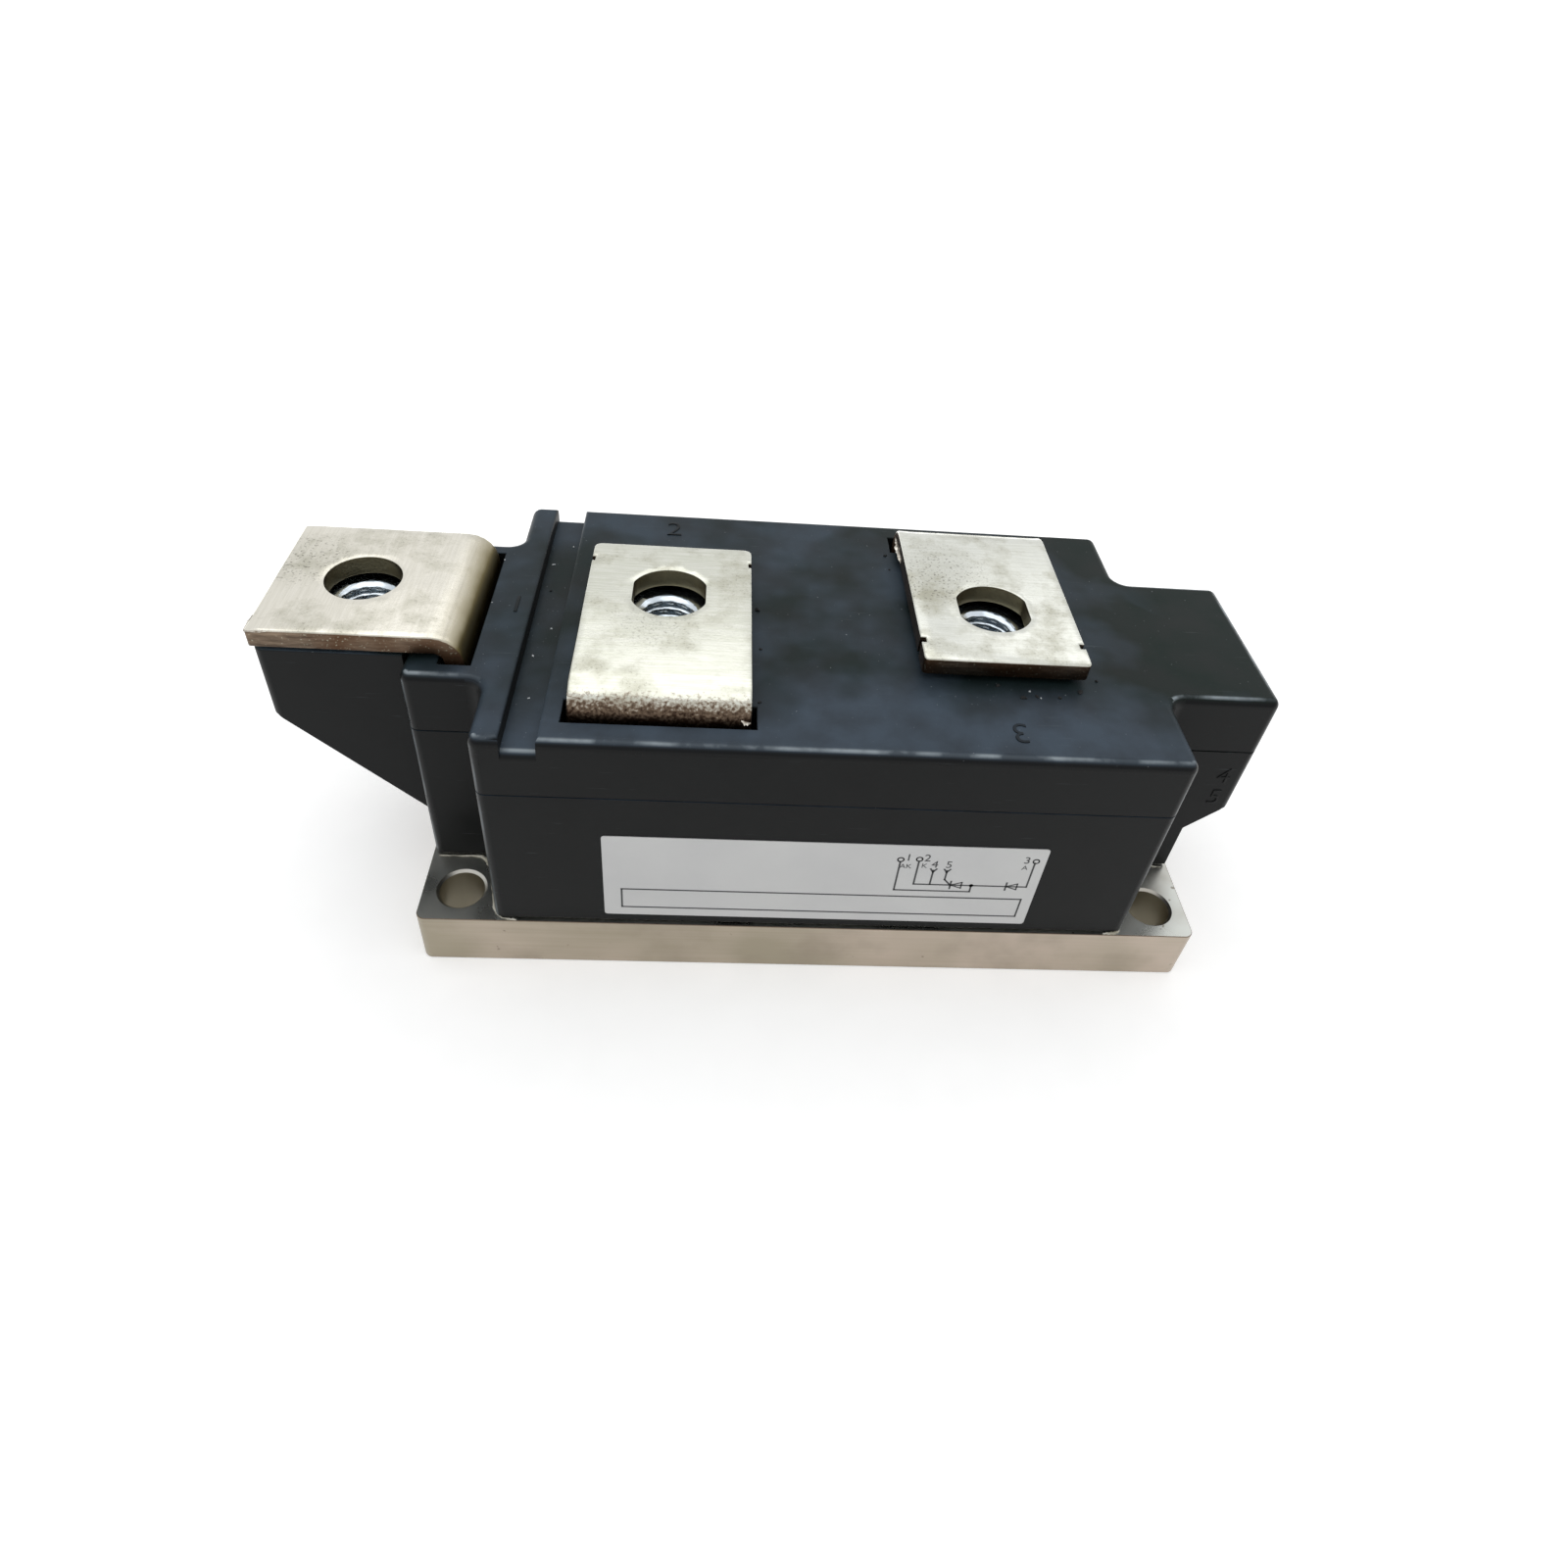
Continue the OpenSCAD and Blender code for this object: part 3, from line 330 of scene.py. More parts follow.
@dataclass(frozen=True)
class TinnedCopper(Finish):
    """Tin-plated copper strip, punched and folded.

    Warm silver with grey stains, scuffs and pits on its faces, brown bare copper with shear
    streaks on its cut sides, and speckled brown where the plating cracked and wore at a fold,
    darkened further along the fold by a painted dark reflection.
    """

    tin: str = "#cccdbf"
    tin_bright: str = "#dadad0"
    stain: str = "#a2a08e"
    cut: str = "#4b3f35"
    cut_pale: str = "#7c6c5c"
    cut_warm: str = "#4a3322"
    bore: str = "#8c8267"
    # Bare copper where a fold has worn; its dark end also stands for a painted dark reflection
    worn: str = "#8f7c69"
    wear_and_dark_reflection: str = "#2e2119"
    pit_tone: str = "#67625a"
    roughness: float = 0.14
    cloud: float = 6.0
    oxide: float = 12.0
    # Real pits, plating cracks and rolling lines are finer and are drawn coarser, so that they show
    pit: float = 0.42
    speckle: Triple = (0.5, 0.45, 0.45)
    streak: Triple = (6.0, 0.3, 0.3)
    shear: Triple = (4.0, 4.0, 0.6)
    ragged: float = 0.9
    fade: tuple[float, float] = (0.44, 0.74)
    dent_relief: float = 0.03
    flake_relief: float = 0.06
    pit_relief: float = 0.02

    def dress(self, node: Adder) -> Inputs:
        """Stains and pits on the faces, streaks on cut sides, speckle where a fold has worn.

        Args:
            node: adds a node to the material.

        Returns:
            What feeds the shader.
        """
        place = node("TexCoord", out="Object")
        sheared, bored, folded, eaten = (
            node("Attribute", out="Fac", attribute_name=name)
            for name in ("sheared", "bored", "folded", "pitted"))
        cloud, pit, oxide = (
            node("TexNoise", place, per(size), detail, grit)
            for size, detail, grit in ((self.cloud, 6, 0.62), (self.pit, 2, 0.5), (self.oxide, 2, 0.5)))
        drawn, speckle, layered = (
            node("TexNoise", node("Mapping", inputs={"Vector": place, "Scale": [*map(per, sizes)]}),
                 1.0, detail, grit)
            for sizes, detail, grit in (
                (self.streak, 4, 0.5), (self.speckle, 3, 0.5), (self.shear, 5, 0.65)))
        # The plating cracks in a ragged band along a fold, and the brown there, bare copper with a painted
        # dark reflection, darkens further along the fold
        centred = node("Math", speckle, 0.5, operation="SUBTRACT")
        reach = node("Math", centred, self.ragged, folded, operation="MULTIPLY_ADD")
        cracked = node("MapRange", reach, self.fade[0], self.fade[1])
        shade = node("MapRange", reach, 0.47, 1.0, 1.0, 0.0)
        sheen = node("MapRange", drawn, 0.35, 0.7)
        torn = node("MapRange", layered, 0.38, 0.72)
        brown, face, side = (
            node("Mix", share, linear(first), linear(second), data_type="RGBA")
            for share, first, second in (
                (shade, self.wear_and_dark_reflection, self.worn), (sheen, self.tin, self.tin_bright),
                (torn, self.cut, self.cut_pale)))
        cloudy = node("MapRange", cloud, 0.48, 0.72, 0.0, 0.75)
        stain = node("Math", eaten, 0.3, cloudy, operation="MULTIPLY_ADD", use_clamp=True)
        dirty = node("MapRange", cloud, 0.5, 0.7, 0.0, 0.5)
        spread = node("Math", eaten, dirty, operation="ADD")
        hollow = node("MapRange", pit, 0.58, 0.66, 0.0, 0.8)
        pitted = node("Math", hollow, spread, operation="MULTIPLY", use_clamp=True)
        for mask, tone in ((stain, linear(self.stain)), (pitted, linear(self.pit_tone)), (cracked, brown)):
            face = node("Mix", mask, face, tone, data_type="RGBA")
        aged = node("MapRange", oxide, 0.42, 0.58, 0.0, 0.8)
        fleck = node("MapRange", pit, 0.62, 0.72, 0.0, 0.6)
        for mask, tone in ((aged, self.cut_warm), (fleck, self.stain), (bored, self.bore)):
            side = node("Mix", mask, side, linear(tone), data_type="RGBA")
        colour = node("Mix", sheared, face, side, data_type="RGBA")
        bright, dull = self.roughness - 0.04, self.roughness + 0.1
        smooth = node("MapRange", cloud, 0.3, 0.7, bright, dull)
        edged = node("Math", sheared, 0.18, smooth, operation="MULTIPLY_ADD")
        rough = node("Math", cracked, 0.25, edged, operation="MULTIPLY_ADD")
        flaked = node("Math", speckle, cracked, operation="MULTIPLY")
        relief = node("Bump", inputs={"Height": cloud, "Distance": self.dent_relief * MM, "Strength": 0.35})
        for height, depth, strength in ((flaked, self.flake_relief, 0.5), (pit, self.pit_relief, 0.25)):
            relief = node("Bump", inputs={
                "Height": height, "Distance": depth * MM, "Strength": strength, "Normal": relief})
        return {"Base Color": colour, "Roughness": rough, "Normal": relief, "Metallic": 1.0}


@dataclass(frozen=True)
class NickelPlate(Finish):
    """Nickel-plated copper, ground on its faces, sawn on its sides and drilled.

    Warm beige-grey on its sides, partly a painted warm reflection, with fine streaks along the
    cut; an even silver satin on its faces, a few darker smudges, a painted brown shade line along
    its edges, and plain in its holes.
    """

    # Upright sides: a warm beige that is partly a painted warm reflection
    nickel: str = "#a09785"
    pale: str = "#bbaea0"
    silver: str = "#b8bab4"
    silver_pale: str = "#c8cac5"
    drilled: str = "#a09987"
    # Painted shade line along the edge roundings, toned like bare copper
    painted_edge_shade: str = "#6d6052"
    smudge: str = "#8f8575"
    spot: str = "#6f675a"
    roughness: float = 0.29
    # Real saw lines are finer and are drawn coarser, so that they show
    streak: Triple = (28.0, 1.2, 0.7)
    cloud: float = 9.0
    broad: float = 24.0
    dot: float = 1.6
    line_relief: float = 0.01

    def dress(self, node: Adder) -> Inputs:
        """Streaks along the cut, smudges, a painted shade line on the edges, and duller upright sides that
        carry a painted warm reflection.

        Args:
            node: adds a node to the material.

        Returns:
            What feeds the shader.
        """
        place = node("TexCoord", out="Object")
        facing = node("SeparateXYZ", node("NewGeometry", out="Normal"), out="Z")
        level = node("Math", facing, operation="ABSOLUTE")
        upright = node("MapRange", level, 0.0, 1.0, 1.0, 0.0)
        along = node("Mapping", inputs={"Vector": place, "Scale": [*map(per, self.streak)]})
        streak = node("TexNoise", along, 1.0, 4)
        cloud, broad, dot = (
            node("TexNoise", place, per(size), detail)
            for size, detail in ((self.cloud, 5), (self.broad, 2), (self.dot, 1)))
        drawn = node("Mix", 0.8, streak, broad)
        worked = node("Mix", upright, cloud, drawn)
        share = node("MapRange", worked, 0.38, 0.62)
        sawn, flat = (
            node("Mix", share, linear(first), linear(second), data_type="RGBA")
            for first, second in ((self.nickel, self.pale), (self.silver, self.silver_pale)))
        # Upright sides take the beige tones, partly a painted warm reflection, and faces the silver
        colour = node("Mix", upright, flat, sawn, data_type="RGBA")
        greyed = node("MapRange", cloud, 0.48, 0.75, 0.0, 0.5)
        dotted = node("MapRange", dot, 0.76, 0.8, 0.0, 0.7)
        bore, rim = (node("Attribute", out="Fac", attribute_name=name) for name in ("drilled", "rubbed"))
        # A painted shade line on the sloped roundings of the edges
        sloped = node("MapRange", upright, 0.7, 0.9, 1.0, 0.0)
        worn = node("Math", rim, sloped, operation="MULTIPLY")
        for mask, tone in (
                (greyed, self.smudge), (dotted, self.spot), (bore, self.drilled), (worn, self.painted_edge_shade)):
            colour = node("Mix", mask, colour, linear(tone), data_type="RGBA")
        smooth, matt = self.roughness - 0.05, self.roughness + 0.08
        satin = node("MapRange", worked, 0.3, 0.7, smooth, matt)
        rough = node("Math", upright, 0.1, satin, operation="MULTIPLY_ADD")
        ground = node("Math", streak, upright, operation="MULTIPLY")
        relief = node("Bump", inputs={"Height": ground, "Distance": self.line_relief * MM, "Strength": 0.12})
        return {"Base Color": colour, "Roughness": rough, "Normal": relief, "Metallic": 1.0}


@dataclass(frozen=True)
class Grained(Finish):
    """A plain finish in two close tones with a fine grain, for pieces of one even material."""

    tone: str
    other_tone: str
    roughness: float = 0.5
    metallic: float = 0.0
    # Real grains are finer and are drawn coarser, so that they show
    grain: float = 0.6
    cloud: float = 5.0
    relief: float = 0.01

    def dress(self, node: Adder) -> Inputs:
        """Cloudy change between the two tones, and a grain in roughness and relief.

        Args:
            node: adds a node to the material.

        Returns:
            What feeds the shader.
        """
        place = node("TexCoord", out="Object")
        cloud, grain = (
            node("TexNoise", place, per(size), detail)
            for size, detail in ((self.cloud, 4), (self.grain, 2)))
        share = node("MapRange", cloud, 0.3, 0.7)
        colour = node(
            "Mix", share, linear(self.tone), linear(self.other_tone), data_type="RGBA")
        smooth, matt = self.roughness * 0.85, self.roughness * 1.15
        rough = node("MapRange", grain, 0.3, 0.7, smooth, matt)
        relief = node("Bump", inputs={"Height": grain, "Distance": self.relief * MM, "Strength": 0.4})
        return {"Base Color": colour, "Roughness": rough, "Normal": relief, "Metallic": self.metallic}


class Slot(Enum):
    """The record's material slots that are reported for the pieces."""

    PLASTIC = "moulded_black"
    BASE = "plated_base"
    BAR = "plated_copper"
    STEEL = "zinc_steel"
    LABEL = "label"
    SEAL = "seal"


def arc(centre: Vector, radius: float, start: float, end: float, steps: int) -> list[Vector]:
    """Points along an arc, from one angle in degrees to another."""
    turns = [math.radians(start + (end - start) * i / steps) for i in range(steps + 1)]
    return [centre + radius * Vector((math.cos(a), math.sin(a))) for a in turns]


def spaced(loop: Sequence[Vector], step: float) -> list[Vector]:
    """Adds points to a closed loop.

    Args:
        loop: its corners.
        step: the longest side that is left.

    Returns:
        The loop with its corners and the points between them.
    """
    points = []
    for i, p in enumerate(loop):
        q = loop[(i + 1) % len(loop)]
        count = max(1, math.ceil((q - p).length / step))
        points += [p.lerp(q, k / count) for k in range(count)]
    return points


def lofted(rings: Sequence[Sequence[Vector]], closed: bool = False) -> bmesh.types.BMesh:
    """Builds a closed mesh through rings of points.

    Args:
        rings: the rings, which all have as many points.
        closed: joins the last ring to the first, where otherwise both are filled.

    Returns:
        The mesh, in the unit of the points.
    """
    bm = bmesh.new()
    made = [[bm.verts.new(p) for p in ring] for ring in rings]
    again = made[:1] if closed else []
    for near, far in zip(made, made[1:] + again):
        for i in range(len(near)):
            bm.faces.new((near[i - 1], near[i], far[i], far[i - 1]))
    if not closed:
        bm.faces.new(made[0])
        bm.faces.new(made[-1])
    return bm


@dataclass
class Blank:
    """A flat piece cut from sheet, with rounded upper and lower edges.

    The outline runs counter-clockwise and each hole clockwise, so the material is on the left.
    """

    outline: list[Vector]
    holes: list[list[Vector]]
    thickness: float
    top_round: float
    low_round: float
    hole_round: float = 0.1
    grid: float = 1.0
    # Share of the grid's step that its points keep from the rim
    clearance: float = 0.6
    # Points that are closer than this become one, and thinner triangles are left out
    join: float = 1e-7
    sliver: float = 1e-5

    @staticmethod
    def away(loop: Sequence[Vector]) -> list[Vector]:
        """Finds the mitre vectors that point away from the material.

        Args:
            loop: a closed loop with the material on its left.

        Returns:
            One vector for each point.
        """
        found = []
        for i, point in enumerate(loop):
            before = (point - loop[i - 1]).normalized()
            after = (loop[(i + 1) % len(loop)] - point).normalized()
            a, b = Vector((before.y, -before.x)), Vector((after.y, -after.x))
            found.append((a + b) / (1 + a.dot(b)))
        return found

    @staticmethod
    def inside(point: Vector, loop: Sequence[Vector]) -> bool:
        """Tells whether a point lies in a closed loop.

        Args:
            point: the point.
            loop: the loop's corners.

        Returns:
            Whether a line from the point crosses the loop an odd number of times.
        """
        odd = False
        for i, p in enumerate(loop):
            q = loop[i - 1]
            if (p.y > point.y) != (q.y > point.y):
                if point.x < (q.x - p.x) * (point.y - p.y) / (q.y - p.y) + p.x:
                    odd = not odd
        return odd

    def section(self, top_round: float) -> list[tuple[float, float]]:
        """Draws the rim's profile from the upper to the lower face.

        Args:
            top_round: radius of its upper rounding.

        Returns:
            Distance outwards and depth at each step.
        """
        low, quarter = self.low_round, [math.radians(a) for a in (0, 30, 60, 90)]
        upper = [(top_round * (math.sin(a) - 1), top_round * (1 - math.cos(a))) for a in quarter]
        lower = [(low * (math.cos(a) - 1), self.thickness + low * (math.sin(a) - 1)) for a in quarter]
        return upper + lower

    def inner_points(self, rim: Sequence[Vector]) -> list[Vector]:
        """Lays a grid of points inside the outline.

        Args:
            rim: the points that the grid keeps clear of.

        Returns:
            The grid's points that lie in no hole.
        """
        near = KDTree(len(rim))
        for i, p in enumerate(rim):
            near.insert(p.to_3d(), i)
        near.balance()
        xs, ys = [p.x for p in self.outline], [p.y for p in self.outline]
        points = []
        for i in range(1, int((max(xs) - min(xs)) / self.grid)):
            for k in range(1, int((max(ys) - min(ys)) / self.grid)):
                p = Vector((min(xs) + i * self.grid, min(ys) + k * self.grid))
                if near.find(p.to_3d())[2] < self.clearance * self.grid or not self.inside(p, self.outline):
                    continue
                if not any(self.inside(p, hole) for hole in self.holes):
                    points.append(p)
        return points

    def mesh(self, put: Callable[[float, float, float], Vector]) -> bmesh.types.BMesh:
        """Builds the piece as a closed mesh with the layers sheared, bored and along.

        Args:
            put: turns a plan point and a depth, in millimetres, into a place in metres.

        Returns:
            The mesh in metres.
        """
        loops = [self.outline, *self.holes]
        aways = [self.away(loop) for loop in loops]
        rounds = [self.top_round] + [self.hole_round] * len(self.holes)
        edges, bounds, rim = [], [], []
        for loop, away, r in zip(loops, aways, rounds):
            edges += [(len(rim) + i, len(rim) + (i + 1) % len(loop)) for i in range(len(loop))]
            bounds.append([p - r * a for p, a in zip(loop, away)])
            rim += bounds[-1]
        flat = rim + self.inner_points(rim)
        plan, _, faces, origin, _, _ = delaunay_2d_cdt(flat, edges, [], 0, self.join)
        source = [found[0] for found in origin]
        bm = bmesh.new()
        layers = [bm.verts.layers.float.new(name) for name in ("sheared", "bored", "along")]

        def vertex(p: Vector, depth: float, cut: float = 0.0, hole: float = 0.0) -> bmesh.types.BMVert:
            """Adds a point and marks it.

            Args:
                p: its place in the plan.
                depth: its depth below the upper face.
                cut: 1 on a cut side.
                hole: 1 in a hole.

            Returns:
                The new point.
            """
            made = bm.verts.new(put(p.x, p.y, depth))
            for layer, value in zip(layers, (cut, hole, p.x)):
                made[layer] = value
            return made

        top_rim, low_rim = [], []
        for number, (loop, away) in enumerate(zip(loops, aways)):
            rings = []
            for out, depth in self.section(rounds[number]):
                cut = float(rounds[number] < depth + HAIR < self.thickness - HAIR)
                hole = float(number > 0)
                rings.append([vertex(p + out * a, depth, cut, hole) for p, a in zip(loop, away)])
            for upper, lower in zip(rings, rings[1:]):
                for i in range(len(loop)):
                    bm.faces.new((upper[i - 1], upper[i], lower[i], lower[i - 1]))
            top_rim += rings[0]
            low_rim += rings[-1]
        tops, lows = (
            [ring[k] if k < len(rim) else vertex(plan[i], depth) for i, k in enumerate(source)]
            for ring, depth in ((top_rim, 0.0), (low_rim, self.thickness)))
        for face in faces:
            a, b, c = (plan[i] for i in face)
            middle = (a + b + c) / 3
            if abs((b - a).cross(c - a)) < self.sliver or not self.inside(middle, bounds[0]):
                continue
            if any(self.inside(middle, hole) for hole in bounds[1:]):
                continue
            bm.faces.new([tops[i] for i in face])
            bm.faces.new([lows[i] for i in reversed(face)])
        return bm


class FoldLine:
    """Middle line of a folded strip: straight runs joined by quarter bends of one radius."""

    def __init__(
        self, start: Vector, heading: float, runs: Sequence[float], turns: Sequence[float], radius: float
    ) -> None:
        """Lays the runs and turns one after the other.

        Args:
            start: first point, as distance outwards and height.
            heading: first direction in degrees, 0 outwards and 90 up.
            runs: lengths of the straight runs.
            turns: degrees turned after each run but the last, left turns positive.
            radius: radius of the bends.
        """
        self.radius = radius
        self.spans: list[tuple[float, Vector, float, float]] = []
        self.length = 0.0
        point, angle = start.copy(), math.radians(heading)
        for i, run in enumerate(runs):
            self.spans.append((self.length, point.copy(), angle, 0.0))
            self.length += run
            point += run * Vector((math.cos(angle), math.sin(angle)))
            if i < len(turns):
                turn = math.radians(turns[i])
                side = math.copysign(1.0, turn)
                self.spans.append((self.length, point.copy(), angle, side))
                centre = point + side * radius * self.left(angle)
                angle += turn
                point = centre - side * radius * self.left(angle)
                self.length += radius * abs(turn)

    @staticmethod
    def left(angle: float) -> Vector:
        """Unit vector to the left of a heading."""
        return Vector((-math.sin(angle), math.cos(angle)))

    def at(self, along: float) -> tuple[Vector, Vector]:
        """Finds a place on the line.

        Args:
            along: distance along the line.

        Returns:
            The point there and its left-hand normal.
        """
        passed = [span for span in self.spans if span[0] <= along + HAIR or span[0] == 0]
        begin, point, angle, side = passed[-1]
        if not side:
            return point + (along - begin) * Vector((math.cos(angle), math.sin(angle))), self.left(angle)
        now = angle + side * (along - begin) / self.radius
        return point + side * self.radius * (self.left(angle) - self.left(now)), self.left(now)


class TerminalHole(Enum):
    """Shapes of the terminal holes: across the strip, along the strip."""

    ROUND = (11.0, 11.0)
    DOUBLE_D = (11.0, 12.0)


@dataclass
class BusBar:
    """A bus bar: a strip of plated copper punched flat and folded into bed, leg and terminal.

    It is never quite flat, its free end is drawn down by the punch, its plating is worn at the
    upper fold and darkened below it by a painted dark reflection, and it may be pitted round one
    place.
    """

    node: str
    axis: Vector
    outward: Vector
    hole: TerminalHole
    finish: TinnedCopper
    leg: float
    bed_end: float
    notched: bool = True
    gate_hole: float = 0.0
    fold_wear_and_shade: float = 0.0
    wear_and_shade_gain: float = 1.15
    pit_place: tuple[float, float] = (0.0, 0.0)
    pit_reach: float = 0.0
    pit_share: float = 1.0
    thickness: float = 3.0
    bend: float = 3.0
    corner: float = 1.5
    notch_off: float = 4.5
    notch_half: float = 0.6
    notch_depth: float = 0.8
    hole_sides: int = 72
    step: float = 0.8
    grid: float = 1.1
    top_round: float = 0.32
    low_round: float = 0.14
    wave: float = 0.035
    wave_size: float = 11.0
    roll: float = 0.14
    roll_reach: float = 1.9

    @property
    def across(self) -> Vector:
        """Direction across the strip."""
        return self.outward.cross(UP)

    @property
    def free_end(self) -> float:
        """Distance from the terminal hole's axis to the strip's free end."""
        return max((corner - self.axis).dot(self.outward) for corner in box_mm(self.node))

    def line(self) -> FoldLine:
        """The strip's middle line, from the end on the chip to the terminal's free end.

        Returns:
            The line, with the upper bend as its fourth span and the terminal as its fifth.
        """
        low, high = box_mm(self.node)
        side = 1 if self.bed_end > self.leg else -1
        bed = abs(self.bed_end - self.leg) - self.bend
        rise = high.z - low.z - self.thickness - 2 * self.bend
        plate = self.free_end - self.leg - self.bend
        start = Vector((self.bed_end, low.z + self.thickness / 2))
        return FoldLine(start, 180 if side > 0 else 0, (bed, rise, plate), (-90 * side, -90), self.bend)

    def blank(self, length: float) -> Blank:
        """The punched strip before folding.

        Args:
            length: its length along the middle line.

        Returns:
            The blank, with its terminal end at the full length.
        """
        low, high = box_mm(self.node)
        half = abs((high - low).dot(self.across)) / 2
        right = [Vector((0, -half))]
        if self.notched:
            for ahead, deep in ((-1, 0), (-1, 1), (1, 1), (1, 0)):
                x = length - self.notch_off + ahead * self.notch_half
                right.append(Vector((x, -half + deep * self.notch_depth)))
        right += arc(Vector((length - self.corner, -half + self.corner)), self.corner, -90, 0, 5)
        outline = right + [Vector((p.x, -p.y)) for p in reversed(right)]
        wide, long = (size / 2 for size in self.hole.value)
        centre = Vector((length - self.free_end, 0))
        turns = [FULL_TURN * i / self.hole_sides for i in range(self.hole_sides)]
        ring = [centre + long * Vector((math.cos(a), -math.sin(a))) for a in turns]
        holes = [[Vector((p.x, max(-wide, min(wide, p.y)))) for p in ring]]
        if self.gate_hole:
            holes.append(arc(Vector((abs(self.bed_end), 0)), self.gate_hole / 2, 360, 15, 23))
        return Blank(
            spaced(outline, self.step), holes, self.thickness, self.top_round, self.low_round, grid=self.grid)

    def build(self) -> None:
        """Punches, folds and finishes the bar in place of its CAD node."""
        line = self.line()
        # Each bar's waves come from another layer of the noise
        layer = 7 * len(self.node)

        def put(along: float, aside: float, depth: float) -> Vector:
            """Folds a point of the blank.

            Args:
                along: its place along the strip.
                aside: its place across the strip.
                depth: its depth below the upper face.

            Returns:
                Where it lies, in metres.
            """
            point, normal = line.at(along)
            swell = self.wave * noise.noise(Vector((along, aside, layer)) / self.wave_size)
            near = max(0.0, 1.0 - (line.length - along) / self.roll_reach)
            drawn = self.roll * near * near * (1 - depth / self.thickness)
            place = point + (self.thickness / 2 - depth + swell - drawn) * normal
            return (self.axis + self.outward * place.x + self.across * aside + UP * place.y) * MM

        bm = self.blank(line.length).mesh(put)
        along = bm.verts.layers.float["along"]
        folded = bm.verts.layers.float.new("folded")
        pitted = bm.verts.layers.float.new("pitted")
        # The fold mark grows below the upper fold: wear, with a painted dark reflection
        begin, end = line.spans[3][0], line.spans[4][0]
        for v in bm.verts:
            strain = self.wear_and_shade_gain * (end - v[along]) / (end - begin)
            v[folded] = self.fold_wear_and_shade * max(0.0, min(1.0, strain))
            if self.pit_reach:
                away = (v.co.xy / MM - Vector(self.pit_place)).length / self.pit_reach
                v[pitted] = self.pit_share * max(0.0, 1.0 - away * away)
        piece = finished(self.node + "_plated", bm, self.finish.material())
        seat(piece, Slot.BAR.value, self.node)


@dataclass
class Nut:
    """A captive hexagon nut with its thread cut in."""

    node: str
    material: bpy.types.Material
    crest: float = 4.25
    root: float = 5.0
    pitch: float = 1.5
    mouth: float = 4.52
    # Shares of the thread's half pitch that its crest and its flank take
    crest_share: float = 0.25
    flank_share: float = 0.6
    # What the chamfer takes off the middle of a side, and how far the end faces stay inside it
    chamfer: float = 0.05
    inset: float = 0.25
    sides: int = 96
    rows: int = 72

    def thread(self, turn: float, z: float, height: float) -> float:
        """Finds the radius of the bore.

        Args:
            turn: the angle, in radians.
            z: the height above the nut's foot.
            height: the nut's height.

        Returns:
            The radius there.
        """
        phase = (z / self.pitch - turn / FULL_TURN) % 1
        rise = min(1.0, max(0.0, (abs(2 * phase - 1) - self.crest_share) / self.flank_share))
        radius = self.crest + (self.root - self.crest) * rise
        return max(radius, self.mouth - min(z, height - z))

    def build(self) -> None:
        """Builds the nut in place of its CAD node."""
        low, high = box_mm(self.node)
        height, flat = high.z - low.z, (high.x - low.x) / 2
        foot = Vector(((low.x + high.x) / 2, (low.y + high.y) / 2, low.z))
        turns = [FULL_TURN * i / self.sides for i in range(self.sides)]
        hexagon = [flat / math.cos((a + math.pi / 6) % (math.pi / 3) - math.pi / 6) for a in turns]
        drops = [(r - flat) * math.tan(math.radians(30)) + self.chamfer for r in hexagon]
        face = [flat - self.inset] * self.sides
        levels = [height * row / self.rows for row in range(self.rows + 1)]
        profile = [([self.thread(a, z, height) for a in turns], [z] * self.sides) for z in levels]
        profile += [
            (face, [height] * self.sides), (hexagon, [height - drop for drop in drops]),
            (hexagon, drops), (face, [0.0] * self.sides)]
        rings = [
            [(foot + Vector((r * math.cos(a), r * math.sin(a), z))) * MM for a, r, z in zip(turns, radii, zs)]
            for radii, zs in profile]
        piece = finished(self.node + "_threaded", lofted(rings, closed=True), self.material, 40)
        seat(piece, Slot.STEEL.value, self.node)


def painted_edge_zone(place: Vector) -> bool:
    """Tells whether edge roundings at a place take painted highlight and shade."""
    in_notch = NOSE < place.x < -BODY_END and place.y < 0
    return place.x > BODY_END or place.y < FRONT or in_notch


def softened(node: str, radius: float, wanted: Callable[[Vector], bool]) -> bmesh.types.BMesh:
    """Copies a CAD node's mesh, rounds its sharp outer edges and marks the roundings that take painted
    highlight and shade.

    Args:
        node: the CAD node.
        radius: width of the rounding in millimetres.
        wanted: tells from an edge's middle, in millimetres, whether to round it.

    Returns:
        The rounded mesh in metres.
    """
    bm = bmesh.new()
    bm.from_mesh(frame["nodes"][node].data)
    bmesh.ops.remove_doubles(bm, verts=bm.verts, dist=WELD)
    bmesh.ops.dissolve_limit(bm, angle_limit=math.radians(FLAT), verts=bm.verts, edges=bm.edges)
    sharp = [
        edge for edge in bm.edges
        if edge.is_manifold and edge.calc_face_angle_signed(0) > math.radians(SHARP)
        and wanted((edge.verts[0].co + edge.verts[1].co) / (2 * MM))]
    bmesh.ops.bevel(
        bm, geom=sharp, offset=radius * MM, segments=3, profile=0.5, affect="EDGES", clamp_overlap=False)
    bmesh.ops.remove_doubles(bm, verts=bm.verts, dist=WELD)
    bmesh.ops.dissolve_degenerate(bm, dist=WELD, edges=bm.edges)
    bm.normal_update()
    # Narrow bulging faces in that zone are marked for painted highlight and shade
    rubbed = bm.faces.layers.float.new("rubbed")
    for face in bm.faces:
        longest = max(edge.calc_length() for edge in face.edges)
        narrow = face.calc_area() < NARROW * MM * longest
        sides = [edge for edge in face.edges if edge.calc_length() > 0.5 * longest]
        bulging = all(edge.calc_face_angle_signed(0) > HOLLOW for edge in sides)
        face[rubbed] = float(narrow and bulging and painted_edge_zone(face.calc_center_median() / MM))
    return bm


